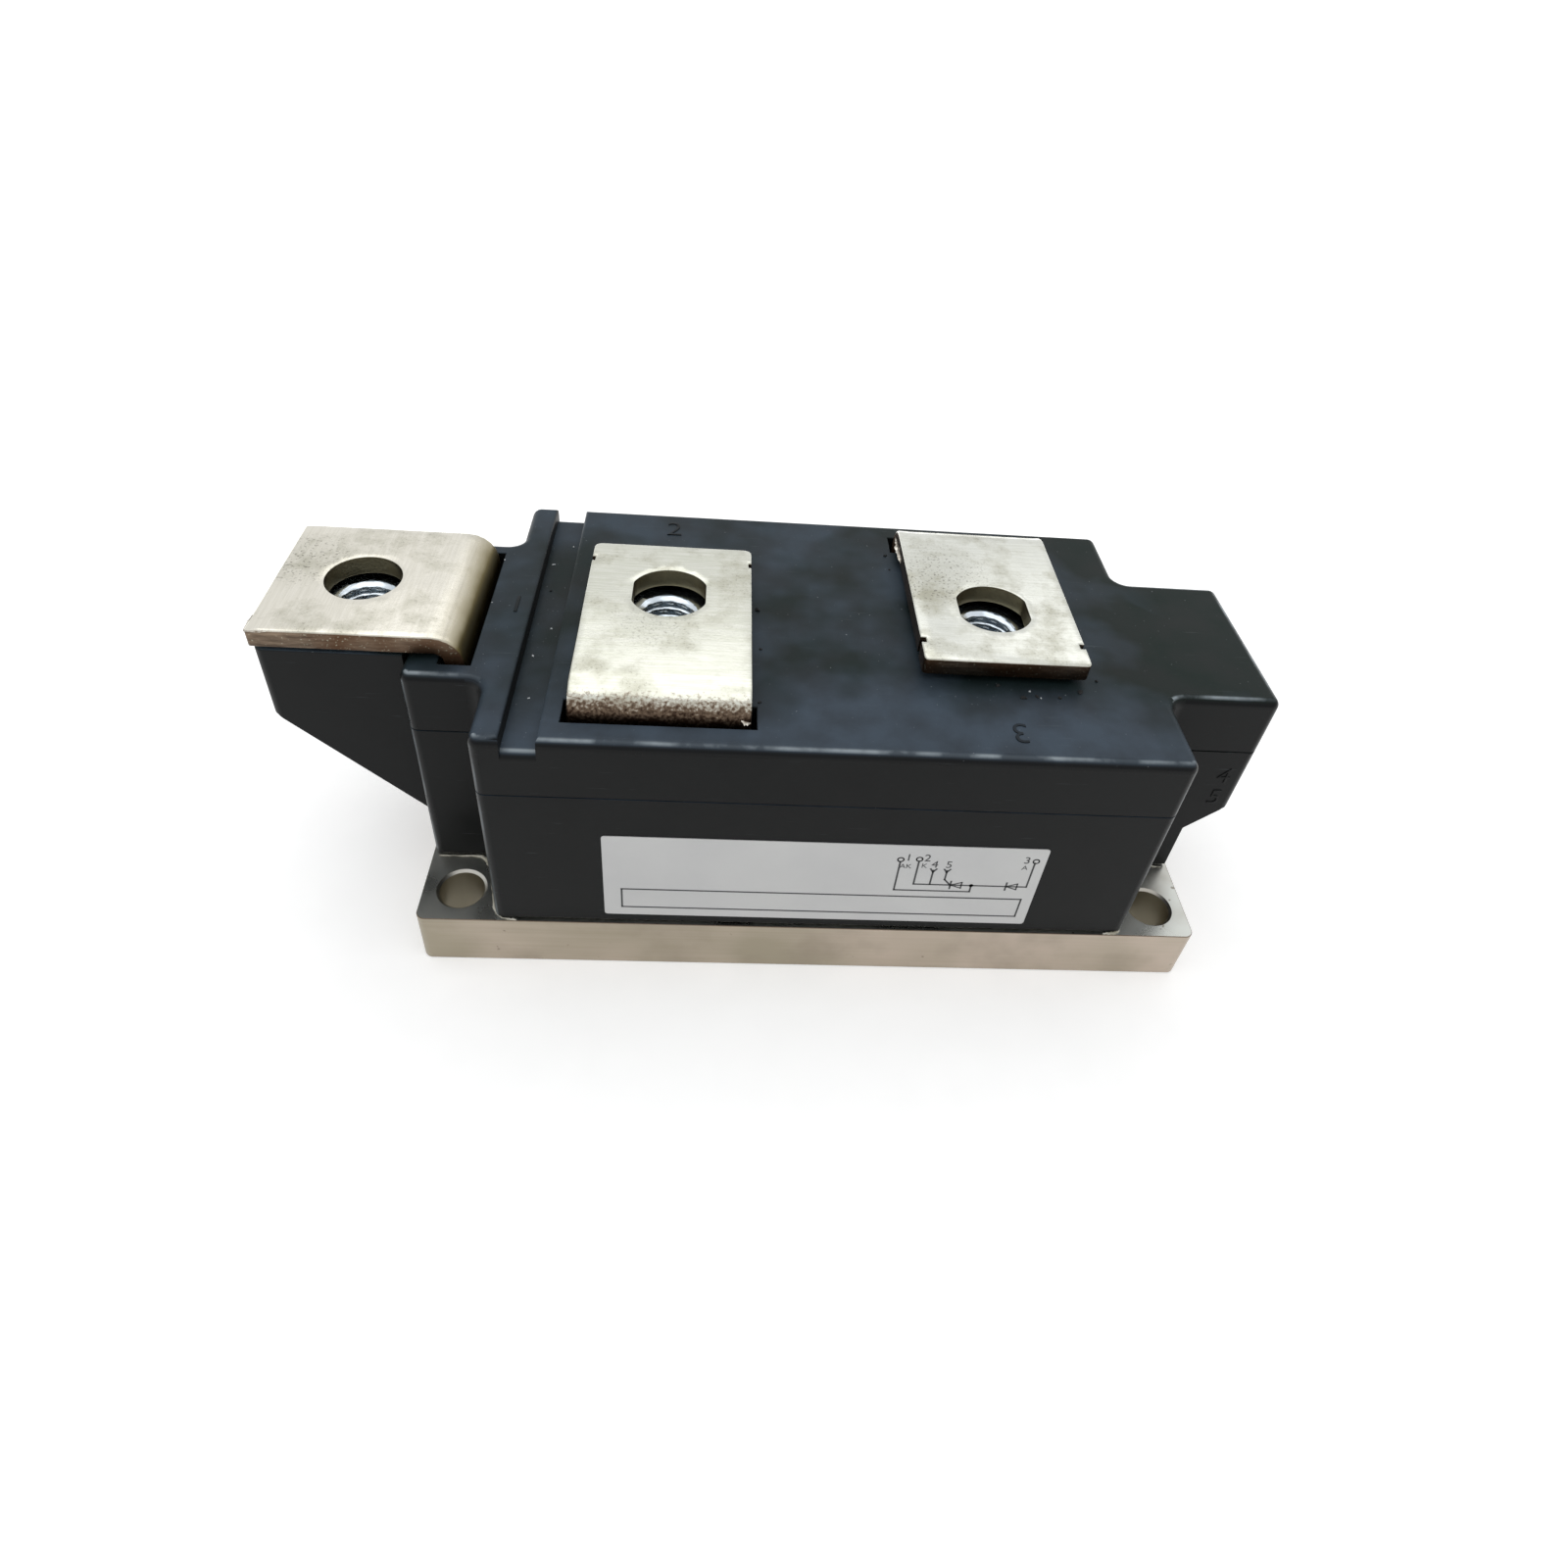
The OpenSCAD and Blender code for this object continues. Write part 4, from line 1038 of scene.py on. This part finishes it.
def even_normals(piece: bpy.types.Object) -> None:
    """Lets large flat faces keep their own normals beside small roundings.

    Args:
        piece: the piece with those faces.
    """
    weighted = piece.modifiers.new("even_normals", "WEIGHTED_NORMAL")
    weighted.keep_sharp = True
    weighted.weight = 100


def figures(text: str, height: float, depth: float, bevel: float, thin: float = 0.0) -> bmesh.types.BMesh:
    """Raised figures that stand on the plane z = 0, centred, in millimetres.

    Args:
        text: the figures.
        height: how tall they are.
        depth: how far they stand out; half of that again is sunk below the plane.
        bevel: rounding of their edges.
        thin: how far their strokes are drawn in on each side.

    Returns:
        The mesh.
    """
    half = 0.75 * depth
    curve = bpy.data.curves.new("figures", "FONT")
    curve.body, curve.align_x, curve.align_y = text, "CENTER", "CENTER"
    curve.resolution_u = 4
    holder = bpy.data.objects.new("figures", curve)
    bpy.context.scene.collection.objects.link(holder)
    bpy.context.view_layer.update()
    curve.size = height / holder.dimensions.y
    curve.extrude, curve.bevel_depth, curve.bevel_resolution = half - bevel, bevel, 2
    curve.offset = -bevel - thin
    shown = holder.evaluated_get(bpy.context.evaluated_depsgraph_get())
    mesh = bpy.data.meshes.new_from_object(shown)
    bm = bmesh.new()
    bm.from_mesh(mesh)
    bpy.data.objects.remove(holder)
    bpy.data.curves.remove(curve)
    bpy.data.meshes.remove(mesh)
    bmesh.ops.remove_doubles(bm, verts=bm.verts, dist=FIGURE_WELD)
    xs, ys = [v.co.x for v in bm.verts], [v.co.y for v in bm.verts]
    to_middle = (-(max(xs) + min(xs)) / 2, -(max(ys) + min(ys)) / 2, depth - half)
    bmesh.ops.translate(bm, verts=bm.verts, vec=to_middle)
    return bm


def merged(parts: Sequence[Placed]) -> bmesh.types.BMesh:
    """Joins meshes into one.

    Args:
        parts: the meshes in millimetres, which are freed, each with its matrix.

    Returns:
        The whole mesh in metres.
    """
    whole = bmesh.new()
    for part, matrix in parts:
        bmesh.ops.transform(part, matrix=Matrix.Scale(MM, 4) @ matrix, verts=part.verts)
        mesh = bpy.data.meshes.new("part")
        part.to_mesh(mesh)
        part.free()
        whole.from_mesh(mesh)
        bpy.data.meshes.remove(mesh)
    return whole


@dataclass
class Housing:
    """The two black mouldings, with their raised terminal numbers."""

    finish: MouldedPolyester
    number_finish: MouldedPolyester
    edge: float = 0.3
    lip: float = 0.22
    # Where the nose and the end block begin, with about half their widths, and the foot's half sizes
    nose: tuple[float, float] = (-61.9, 13.0)
    block: tuple[float, float] = (61.5, 15.0)
    foot: tuple[float, float] = (49.9, 29.4)
    nose_slack: float = 0.3
    number_depth: float = 0.14
    number_round: float = 0.07
    number_thin: float = 0.04
    # Each number's height, place, turn in degrees and axis of that turn
    numbers: tuple[tuple[str, float, Triple, float, str], ...] = (
        ("1", 4.0, (-48.1, 0.6, LID_TOP), 0.0, "Z"), ("2", 4.0, (-25.4, 24.3, LID_TOP), 0.0, "Z"),
        ("3", 4.0, (25.3, -24.0, LID_TOP), 180.0, "Z"), ("4", 3.2, (64.0, -15.1, 32.4), 90.0, "X"),
        ("5", 3.2, (64.1, -15.1, 27.6), 90.0, "X"))

    def outer(self, low: Vector, high: Vector, place: Vector) -> bool:
        """Tells whether an edge of the frame lies on the outside of its nose, end block or foot.

        Args:
            low: the frame's lowest corner.
            high: its highest corner.
            place: the edge's middle.

        Returns:
            Whether it does.
        """
        aside = abs(place.y)
        on_nose = place.x < self.nose[0] and (aside > self.nose[1] or place.x < low.x + self.nose_slack)
        on_block = place.x > self.block[0] and (aside > self.block[1] or place.x > high.x - NEAR)
        on_foot = place.z < low.z + NEAR and (abs(place.x) > self.foot[0] or aside > self.foot[1])
        return on_nose or on_block or on_foot

    @staticmethod
    def on_top(place: Vector) -> bool:
        """Tells whether an edge lies on the lid's top."""
        return abs(place.z - LID_TOP) < NEAR / 2

    def build(self) -> None:
        """Builds the mouldings and the numbers."""
        black = self.finish.material()
        outer = partial(self.outer, *box_mm("housing_frame"))
        for node, width, wanted in (
                ("housing_frame", self.edge, outer), ("housing_lid", self.lip, self.on_top)):
            shell = finished(node + "_moulded", softened(node, width, wanted), black)
            even_normals(shell)
            seat(shell, Slot.PLASTIC.value, node)
        parts = []
        for text, height, place, turn, axis in self.numbers:
            raised = figures(text, height, self.number_depth, self.number_round, self.number_thin)
            parts.append((raised, Matrix.Translation(place) @ Matrix.Rotation(math.radians(turn), 4, axis)))
        numbers = finished("moulded_numbers", merged(parts), self.number_finish.material())
        seat(numbers, Slot.PLASTIC.value)


@dataclass
class Label:
    """The front label: a die-cut film with a plain circuit diagram in thin print.

    Places on it are X and height.
    """

    film: Finish
    ink: Finish
    corner: float = 0.5
    step: float = 2.0
    grid: float = 3.0
    top_round: float = 0.04
    low_round: float = 0.02
    print_depth: float = 0.02
    print_round: float = 0.002
    line: float = 0.28
    head_line: float = 0.22
    ring_line: float = 0.2
    ring_sides: int = 20
    # The frame, the two rails between the terminals, and the two gate leads with their arrows
    lines: tuple[tuple[tuple[float, float], ...], ...] = (
        ((-30.3, 18.2), (31.2, 18.2), (31.2, 13.9), (-30.3, 13.9), (-30.3, 18.2)),
        ((13.75, 26.6), (13.75, 21.25), (31.3, 21.25), (31.3, 26.9)),
        ((22.7, 21.25), (22.7, 19.75), (10.95, 19.75), (10.95, 26.4)),
        ((16.25, 24.6), (16.25, 21.25)), ((18.35, 24.6), (18.35, 22.5), (19.4, 21.25)),
        ((15.8, 24.9), (16.25, 24.2), (16.7, 24.9)), ((17.9, 24.9), (18.35, 24.2), (18.8, 24.9)))
    # Circles with their radii, rectifier symbols with their half sizes, and letters with their heights
    rings: tuple[Triple, ...] = (
        (10.95, 26.85, 0.45), (13.75, 27.05, 0.45), (31.4, 27.3, 0.45), (22.7, 21.25, 0.22))
    valves: tuple[Triple, ...] = ((20.3, 21.25, 0.85), (28.95, 21.25, 0.85))
    letters: tuple[tuple[str, float, float, float], ...] = (
        ("1", 12.1, 27.4, 1.5), ("2", 14.95, 27.4, 1.5), ("3", 30.0, 27.5, 1.5), ("4", 16.25, 26.0, 1.5),
        ("5", 18.4, 26.0, 1.5), ("AK", 11.9, 25.4, 0.95), ("K", 14.75, 25.6, 0.95), ("A", 30.0, 25.8, 0.95))

    def traced(self, points: Sequence[tuple[float, float]], width: float) -> list[bmesh.types.BMesh]:
        """Prints lines from point to point, as thin closed solids on the plane y = 0.

        Args:
            points: the places that the lines join.
            width: the lines' width.

        Returns:
            The mesh of each line.
        """
        stops = [Vector((x, 0, z)) for x, z in points]
        thick = Vector((0, self.print_depth, 0))
        lines = []
        for p, q in zip(stops, stops[1:]):
            ahead = (q - p).normalized() * width / 2
            side = ahead.cross(Vector((0, 1, 0)))
            back = (p + side - ahead, q + side + ahead, q + ahead - side, p - side - ahead)
            lines.append(lofted((back, [corner - thick for corner in back])))
        return lines

    def diagram(self) -> list[bmesh.types.BMesh]:
        """Draws the frame and the circuit, with its terminals and its rectifiers that point left.

        Returns:
            The meshes of their lines.
        """
        drawn = [mesh for points in self.lines for mesh in self.traced(points, self.line)]
        for x, z, radius in self.rings:
            turns = [FULL_TURN * i / self.ring_sides for i in range(self.ring_sides + 1)]
            circle = [(x + radius * math.cos(a), z + radius * math.sin(a)) for a in turns]
            drawn += self.traced(circle, self.ring_line)
        for x, z, size in self.valves:
            tip, wide = (x - size, z), 0.8 * size
            drawn += self.traced((tip, (x + size, z - wide), (x + size, z + wide), tip), self.head_line)
            drawn += self.traced(((x - size, z - size), (x - size, z + size)), self.line)
        return drawn

    def build(self) -> None:
        """Builds the film in place of its CAD node, and the print on it."""
        low, high = box_mm("front_label")
        width, height, r = high.x - low.x, high.z - low.z, self.corner
        outline = []
        for x, y, start in (
                (width - r, r, -90), (width - r, height - r, 0), (r, height - r, 90), (r, r, 180)):
            outline += arc(Vector((x, y)), r, start, start + 90, 4)

        def put(along: float, rise: float, depth: float) -> Vector:
            """Place in metres of a point of the film."""
            return Vector((low.x + along, low.y + depth, low.z + rise)) * MM

        cut = Blank(
            spaced(outline, self.step), [], high.y - low.y, self.top_round, self.low_round, grid=self.grid)
        film = finished("label_film", cut.mesh(put), self.film.material())
        even_normals(film)
        seat(film, Slot.LABEL.value, "front_label")
        parts = [(mesh, Matrix.Translation((0, low.y, 0))) for mesh in self.diagram()]
        upright = Matrix.Rotation(math.radians(90), 4, "X")
        for text, x, z, tall in self.letters:
            printed = figures(text, tall, self.print_depth, self.print_round)
            parts.append((printed, Matrix.Translation((x, low.y, z)) @ upright))
        ink = finished("label_print", merged(parts), self.ink.material())
        seat(ink, Slot.LABEL.value)


@dataclass
class BasePlate:
    """The plated base, with its drilled holes."""

    finish: NickelPlate
    edge: float = 0.12
    rim_slack: float = 0.5
    bore_slack: float = 0.2

    def build(self) -> None:
        """Builds the base in place of its CAD node."""
        high = box_mm("base_plate")[1]

        def rim(p: Vector) -> bool:
            """Tells whether an edge lies on the outline of the upper or the lower face."""
            outside = abs(p.x) > high.x - self.rim_slack or abs(p.y) > high.y - self.rim_slack
            return outside and (p.z < NEAR or p.z > high.z - NEAR)

        bm = softened("base_plate", self.edge, rim)
        bolts = frame["record"]["mounts"][0]["dims"]
        hole = Vector((bolts["spacing_x_mm"], bolts["spacing_y_mm"])) / 2
        drilled = bm.faces.layers.float.new("drilled")
        for face in bm.faces:
            middle = face.calc_center_median() / MM
            off = Vector((abs(middle.x), abs(middle.y))) - hole
            in_hole = off.length < bolts["hole_r_mm"] + self.bore_slack
            face[drilled] = float(in_hole and abs(face.normal.z) < 0.5)
        plate = finished("base_plate_plated", bm, self.finish.material())
        even_normals(plate)
        seat(plate, Slot.BASE.value, "base_plate")


@dataclass
class Traces:
    """What making and handling left: sealant beads, burrs on the bars, crumbs and dust."""

    sealant: Finish
    burr: Finish
    crumb: Finish
    dust: Finish
    seed: int = 11
    bead: float = 0.34
    bead_lump: float = 2.6
    bead_sides: int = 8
    bead_height: float = 10.08
    bead_jitter: float = 0.06
    corner_cuts: int = 3
    bead_paths: tuple[tuple[tuple[float, float], ...], ...] = (
        ((-61.0, -17.5), (-57.0, -17.4), (-53.6, -17.4), (-52.5, -19.6), (-51.5, -22.6), (-50.6, -26.0),
         (-50.0, -28.4), (-48.9, -29.6), (-46.6, -29.75)),
        ((61.0, -15.4), (57.0, -15.3), (53.6, -15.3), (52.5, -17.5), (51.5, -21.0), (50.6, -25.6),
         (50.0, -28.4), (48.9, -29.6), (46.6, -29.75)))
    burr_step: float = 0.35
    burr_half: float = 0.16
    burr_root: float = 0.1
    # Both ends of each burr, the direction in which it stands away and how far it does
    burrs: tuple[tuple[Triple, Triple, Triple, float], ...] = (
        ((12.5, 22.4, 49.9), (12.5, 16.0, 49.3), (-1, 0, 0), 0.55),
        ((12.5, 17.6, 50.3), (12.5, 14.9, 49.6), (-1, 0, 0), 0.4),
        ((-13.9, -24.4, 48.5), (-12.6, -24.4, 48.2), (0, -1, 0), 0.8),
        ((-82.45, -13.5, 51.6), (-79.4, -13.5, 51.7), (0, -1, 0), 0.35),
        ((-82.5, -10.0, 51.7), (-82.5, -13.4, 51.6), (-1, 0, 0), 0.3))
    crumb_size: tuple[float, float] = (0.18, 0.34)
    crumb_places: tuple[Triple, ...] = (
        (27.3, -16.4, LID_TOP), (29.4, -16.0, LID_TOP), (32.8, -16.1, LID_TOP), (39.4, -11.9, LID_TOP),
        (23.9, -13.9, LID_TOP), (36.2, -14.6, LID_TOP), (-11.4, 2.0, LID_TOP), (-11.0, -7.8, LID_TOP),
        (-11.3, -19.8, LID_TOP), (-44.2, 7.6, GROOVE), (10.9, 15.2, LID_TOP), (10.6, 19.4, LID_TOP))
    dust_size: tuple[float, float] = (0.1, 0.2)
    dust_places: tuple[Triple, ...] = (
        (-44.5, -8.9, GROOVE), (-43.6, -18.3, GROOVE), (-42.7, -2.2, GROOVE), (-44.8, 15.0, GROOVE),
        (-42.2, 20.6, GROOVE), (-52.0, 12.3, LID_TOP), (-51.9, 0.7, LID_TOP), (29.9, -16.3, LID_TOP),
        (28.5, -14.9, LID_TOP))

    @staticmethod
    def lump(dice: random.Random, size: float) -> bmesh.types.BMesh:
        """Builds a crumb with a broken surface.

        Args:
            dice: the source of its shape.
            size: its half width.

        Returns:
            The mesh.
        """
        bm = bmesh.new()
        bmesh.ops.create_icosphere(bm, subdivisions=2, radius=size)
        for v in bm.verts:
            v.co *= dice.uniform(0.6, 1.25)
            v.co.z *= 0.6
        return bm

    def scatter(self, name: str, finish: Finish, places: Sequence[Triple], size: tuple[float, float]) -> None:
        """Lays crumbs on the housing.

        Args:
            name: the piece's name.
            finish: what the crumbs are of.
            places: where they lie, with the height of the surface.
            size: smallest and largest half width.
        """
        dice = random.Random(self.seed + len(places))
        parts = []
        for x, y, z in places:
            half = dice.uniform(*size)
            turn = Matrix.Rotation(dice.uniform(0, math.pi), 4, "Z")
            stretch = Matrix.Diagonal((dice.uniform(0.9, 1.7), 1.0, 1.0, 1.0))
            place = Matrix.Translation((x, y, z + 0.3 * half)) @ turn @ stretch
            parts.append((self.lump(dice, half), place))
        seat(finished(name, merged(parts), finish.material(), 60), Slot.PLASTIC.value)

    def shaving(
        self, start: Vector, end: Vector, out: Vector, reach: float, dice: random.Random
    ) -> bmesh.types.BMesh:
        """A torn burr along an edge.

        Args:
            start: one end of the edge.
            end: its other end.
            out: direction in which the burr stands away.
            reach: how far it stands away at most.
            dice: the source of its ragged outline.

        Returns:
            The burr's mesh in millimetres.
        """
        rows = max(6, int((end - start).length / self.burr_step))
        rings = []
        for i in range(rows + 1):
            p = start.lerp(end, i / rows)
            swell = math.sin(math.pi * i / rows) * dice.uniform(0.35, 1.0) + 0.05
            tip = p + out * reach * swell + UP * dice.uniform(-0.35, 0.25) * reach * swell
            root = p - self.burr_root * out
            rings.append((root + self.burr_half * UP, root - self.burr_half * UP, tip))
        return lofted(rings)

    def beads(self) -> bmesh.types.BMesh:
        """The bead of sealant that shows round the housing's foot in each notch.

        Returns:
            The mesh of all four in metres.
        """
        dice = random.Random(self.seed)
        turns = [FULL_TURN * k / self.bead_sides for k in range(self.bead_sides)]
        shake = partial(dice.uniform, -self.bead_jitter, self.bead_jitter)
        parts = []
        for points, side in itertools.product(self.bead_paths, (1, -1)):
            path = [Vector((x, y * side, self.bead_height)) for x, y in points]
            for _ in range(self.corner_cuts):
                cut = [q for a, b in zip(path, path[1:]) for q in (a.lerp(b, 0.25), a.lerp(b, 0.75))]
                path = [path[0], *cut, path[-1]]
            path = [p + Vector((shake(), shake(), 0)) for p in path]
            last = len(path) - 1
            rings = []
            for i, p in enumerate(path):
                taper = min(1.0, 0.2 + 4 * min(i, last - i) / last)
                lump = max(0.2, 0.6 + 0.9 * noise.noise(p / self.bead_lump))
                radius = self.bead * taper * dice.uniform(0.7, 1.2) * lump
                ahead = (path[min(i + 1, last)] - path[max(i - 1, 0)]).normalized()
                level = ahead.cross(UP).normalized()
                rings.append([
                    p + radius * (math.cos(a) * level + math.sin(a) * level.cross(ahead)) for a in turns])
            parts.append((lofted(rings), Matrix()))
        return merged(parts)

    def build(self) -> None:
        """Builds the beads, the burrs, the crumbs and the dust."""
        seat(finished("sealant_beads", self.beads(), self.sealant.material(), 80), Slot.SEAL.value)
        dice = random.Random(self.seed)
        burrs = [(self.shaving(*map(Vector, ways), reach, dice), Matrix()) for *ways, reach in self.burrs]
        seat(finished("bar_burrs", merged(burrs), self.burr.material(), 20), Slot.BAR.value)
        self.scatter("plastic_crumbs", self.crumb, self.crumb_places, self.crumb_size)
        self.scatter("dust_grains", self.dust, self.dust_places, self.dust_size)


@dataclass
class Interior:
    """The clamped chip stacks, blades and wires, which keep their CAD shapes."""

    finishes: dict[str, Finish]

    def build(self) -> None:
        """Gives each inner CAD node the finish of its slot."""
        made = {slot: finish.material() for slot, finish in self.finishes.items()}
        for part in frame["record"]["subparts"]:
            node = frame["nodes"][part["node"]]
            if node.hide_render:
                continue
            node.data.materials.clear()
            node.data.materials.append(made[part["material_slot"]])
            log.info("%s: CAD shape, slot %s", node.name, part["material_slot"])


@dataclass(frozen=True)
class Softbox:
    """One level area lamp over the object.

    The sky behind it shows through, so a mirror sees both together.
    """

    name: str
    place: Triple
    size: tuple[float, float]
    glow: float

    def hang(self) -> None:
        """Makes the lamp, facing down, with its power worked out from the glow of its face."""
        lamp = bpy.data.lights.new(self.name, "AREA")
        lamp.shape = "RECTANGLE"
        lamp.size, lamp.size_y = (side * MM for side in self.size)
        lamp.energy = self.glow * math.pi * lamp.size * lamp.size_y
        box = bpy.data.objects.new(self.name, lamp)
        box.location = Vector(self.place) * MM
        bpy.context.scene.collection.objects.link(box)


@dataclass
class Studio:
    """The photograph's camera, a pale floor and soft light from above and behind."""

    place: Triple = (-18.69, -126.84, 142.46)
    turn: Triple = (49.01, -4.74, -1.8)
    lens: float = 23.39
    sensor: float = 36.0
    shift: tuple[float, float] = (-0.0017, -0.0563)
    nearest: float = 1.0
    furthest: float = 20000.0
    floor: str = "#f7f7f6"
    floor_fibre: str = "#f4f4f3"
    floor_size: float = 8000.0
    floor_drop: float = 0.02
    softboxes: tuple[Softbox, ...] = (
        Softbox("softbox", (-90.0, 205.0, 700.0), (600.0, 1220.0), 0.74),
        Softbox("side_softbox", (530.0, 600.0, 700.0), (440.0, 720.0), 0.52))
    sky: str = "#fcfdff"
    sky_fill: float = 0.8
    backdrop_start: float = 70.0
    backdrop_full: float = 300.0
    backdrop_least: float = 0.27

    def build(self) -> None:
        """Sets up the camera, the lights, the sky and the floor."""
        bpy.context.scene.view_settings.view_transform = "Standard"
        self.set_camera()
        for softbox in self.softboxes:
            softbox.hang()
        self.light_sky()
        self.lay_floor()

    def set_camera(self) -> None:
        """Puts the camera where the photograph was taken from."""
        lens = bpy.data.cameras.new("camera")
        lens.lens, lens.sensor_width = self.lens, self.sensor
        lens.shift_x, lens.shift_y = self.shift
        lens.clip_start, lens.clip_end = self.nearest * MM, self.furthest * MM
        camera = bpy.data.objects.new("camera", lens)
        camera.location = Vector(self.place) * MM
        camera.rotation_euler = [math.radians(a) for a in self.turn]
        bpy.context.scene.collection.objects.link(camera)
        bpy.context.scene.camera = camera

    @staticmethod
    def seen(node: Adder) -> bpy.types.NodeSocket:
        """Tells the rays that show something from those that only light it.

        Args:
            node: adds a node to the material or the world.

        Returns:
            1 for rays from the camera, mirrors and glass, and 0 for others.
        """
        ray = node("LightPath").node.outputs
        shown = ray["Is Camera Ray"]
        for kind in ("Is Glossy Ray", "Is Transmission Ray"):
            shown = node("Math", shown, ray[kind], operation="ADD", use_clamp=True)
        return shown

    def light_sky(self) -> None:
        """Makes the sky, which shows white and lights the object a little less."""
        world = bpy.data.worlds.new("studio")
        world.use_nodes = True
        bpy.context.scene.world = world
        tree = world.node_tree
        node = partial(add, tree)
        power = node("MapRange", self.seen(node), 0.0, 1.0, self.sky_fill, 1.0)
        feed(tree, tree.nodes["Background"], {"Color": linear(self.sky), "Strength": power})

    def lay_floor(self) -> None:
        """Lays the floor under the base, which glows white further away and keeps its shadow near by."""
        bm = bmesh.new()
        bmesh.ops.create_grid(bm, x_segments=8, y_segments=8, size=self.floor_size / 2 * MM)
        # Matt card: an even white without gloss
        board = Grained("matt_board", self.floor, self.floor_fibre, 0.9, grain=2.0).material()
        tree = board.node_tree
        node = partial(add, tree)
        away = node("VectorMath", node("TexCoord", out="Object"), operation="LENGTH")
        start, full = self.backdrop_start * MM, self.backdrop_full * MM
        far = node(
            "MapRange", away, start, full, self.backdrop_least, interpolation_type="SMOOTHSTEP")
        glow = node("Math", far, self.seen(node), operation="MULTIPLY")
        feed(tree, tree.nodes["Principled BSDF"], {
            "Emission Color": linear(self.floor), "Emission Strength": glow})
        floor = finished("floor", bm, board)
        floor.location.z = -self.floor_drop * MM


def main() -> None:
    logging.basicConfig(level=logging.INFO, format="%(name)s %(message)s")
    Studio().build()
    black = MouldedPolyester("moulded_polyester")
    # The numbers stand proud and are wiped almost free of the film and its painted sheen, so they show darker
    wiped = MouldedPolyester("moulded_polyester_wiped", film_and_sheen_blue="#20272d", film_and_sheen_green="#0b1210")
    Housing(black, wiped).build()
    BasePlate(NickelPlate("nickel_plate")).build()
    # The common bar's tin is brighter and streaked across, with a broad soft brown at its fold
    bright_tin = TinnedCopper(
        "tinned_copper_1", tin="#dad6c9", tin_bright="#e4e0d4", worn="#84784f", wear_and_dark_reflection="#453c26",
        speckle=(5.0, 5.0, 5.0), ragged=0.2, fade=(0.05, 0.7), streak=(0.3, 6.0, 0.3))
    BusBar("common_bar", Vector((-70, 0, 0)), Vector((-1, 0, 0)), TerminalHole.ROUND, bright_tin,
           leg=-15.5, bed_end=-111.0, notched=False, corner=0.4, fold_wear_and_shade=0.95,
           pit_place=(-79.5, 4.0), pit_reach=8.0, pit_share=0.8).build()
    BusBar("cathode_bar", Vector((-25, 0, 0)), Vector((0, 1, 0)), TerminalHole.DOUBLE_D,
           TinnedCopper("tinned_copper_2"), leg=-23.0, bed_end=13.0, gate_hole=4.9, fold_wear_and_shade=1.0,
           corner=1.3, notch_depth=0.45, pit_place=(-27.0, -7.5), pit_reach=8.0, pit_share=0.45).build()
    BusBar("anode_bar", Vector((25, 0, 0)), Vector((0, -1, 0)), TerminalHole.DOUBLE_D,
           TinnedCopper("tinned_copper_3", tin="#d4d5cb", tin_bright="#dfe0d8"), leg=-23.0, bed_end=13.0,
           corner=0.7, fold_wear_and_shade=0.8, pit_place=(17.5, 9.0), pit_reach=10.0, pit_share=0.8).build()
    # Bright zinc plate on steel: cold silver with soft mirrors
    zinc = Grained("zinc_plate", "#c6d0d8", "#dfe7ec", 0.2, 1.0, grain=0.4).material()
    for node in ("common_nut", "cathode_nut", "anode_nut"):
        Nut(node, zinc).build()
    # Matt polyester film and screen ink: an even pale grey, and dull charcoal lines
    film = Grained("printed_film", "#c8c8c6", "#c1c1c0", 0.45, cloud=14.0)
    ink = Grained("print_ink", "#2b2c2d", "#3a3b3c", 0.5)
    Label(film, ink).build()
    # Squeezed silicone: milky and glossy, with dirt on it
    sealant = Grained("silicone_bead", "#d4d1c6", "#98937f", 0.2, cloud=2.5)
    # Torn plating: bright flakes of tin with brown copper between them
    burr = Grained("torn_tin", "#d8d5cb", "#6f6152", 0.35, 1.0, cloud=0.6)
    # Broken moulding flash and settled dust: dead matt black, and dull pale grey
    crumb = Grained("moulding_crumbs", "#060606", "#0b0c0c", 0.85)
    dust = Grained("pale_dust", "#c3c6c7", "#9a9ea0", 0.8)
    Traces(sealant, burr, crumb, dust).build()
    Interior({
        # The same strip as the bars: warm silver
        "plated_copper": TinnedCopper("tinned_copper_inside"),
        # Zinc-plated and hardened steel: cold silver, and dark grey with a dull phosphate coat
        "zinc_steel": Grained("zinc_screws", "#bcc6cd", "#d3dbe0", 0.28, 1.0),
        "spring_steel": Grained("phosphated_steel", "#6f7275", "#85888b", 0.45, 1.0),
        # Cured silicone: milky and soft
        "seal": Grained("silicone_seal", "#d9d6cf", "#c9c5bc", 0.35),
        # Fired and ground ceramic: chalky ivory
        "ceramic": Grained("fired_ceramic", "#e8e6dd", "#dedbd0", 0.6),
        # Polished silicon and lapped molybdenum: dark blue-grey gloss, and an even grey satin
        "silicon": Grained("polished_silicon", "#55585f", "#4a4d55", 0.15),
        "molybdenum": Grained("lapped_molybdenum", "#8f9498", "#a0a5a8", 0.35, 1.0),
        # Moulded and extruded plastics: plain ivory, white and red with a low gloss
        "pale_plastic": Grained("moulded_insulation", "#c9c2a8", "#bdb598", 0.5),
        "gate_wire": Grained("white_insulation", "#d9d9d6", "#cfcfcb", 0.45),
        "cathode_wire": Grained("red_insulation", "#9c2f2a", "#8c2823", 0.45),
    }).build()


if __name__ == "__main__":
    main()
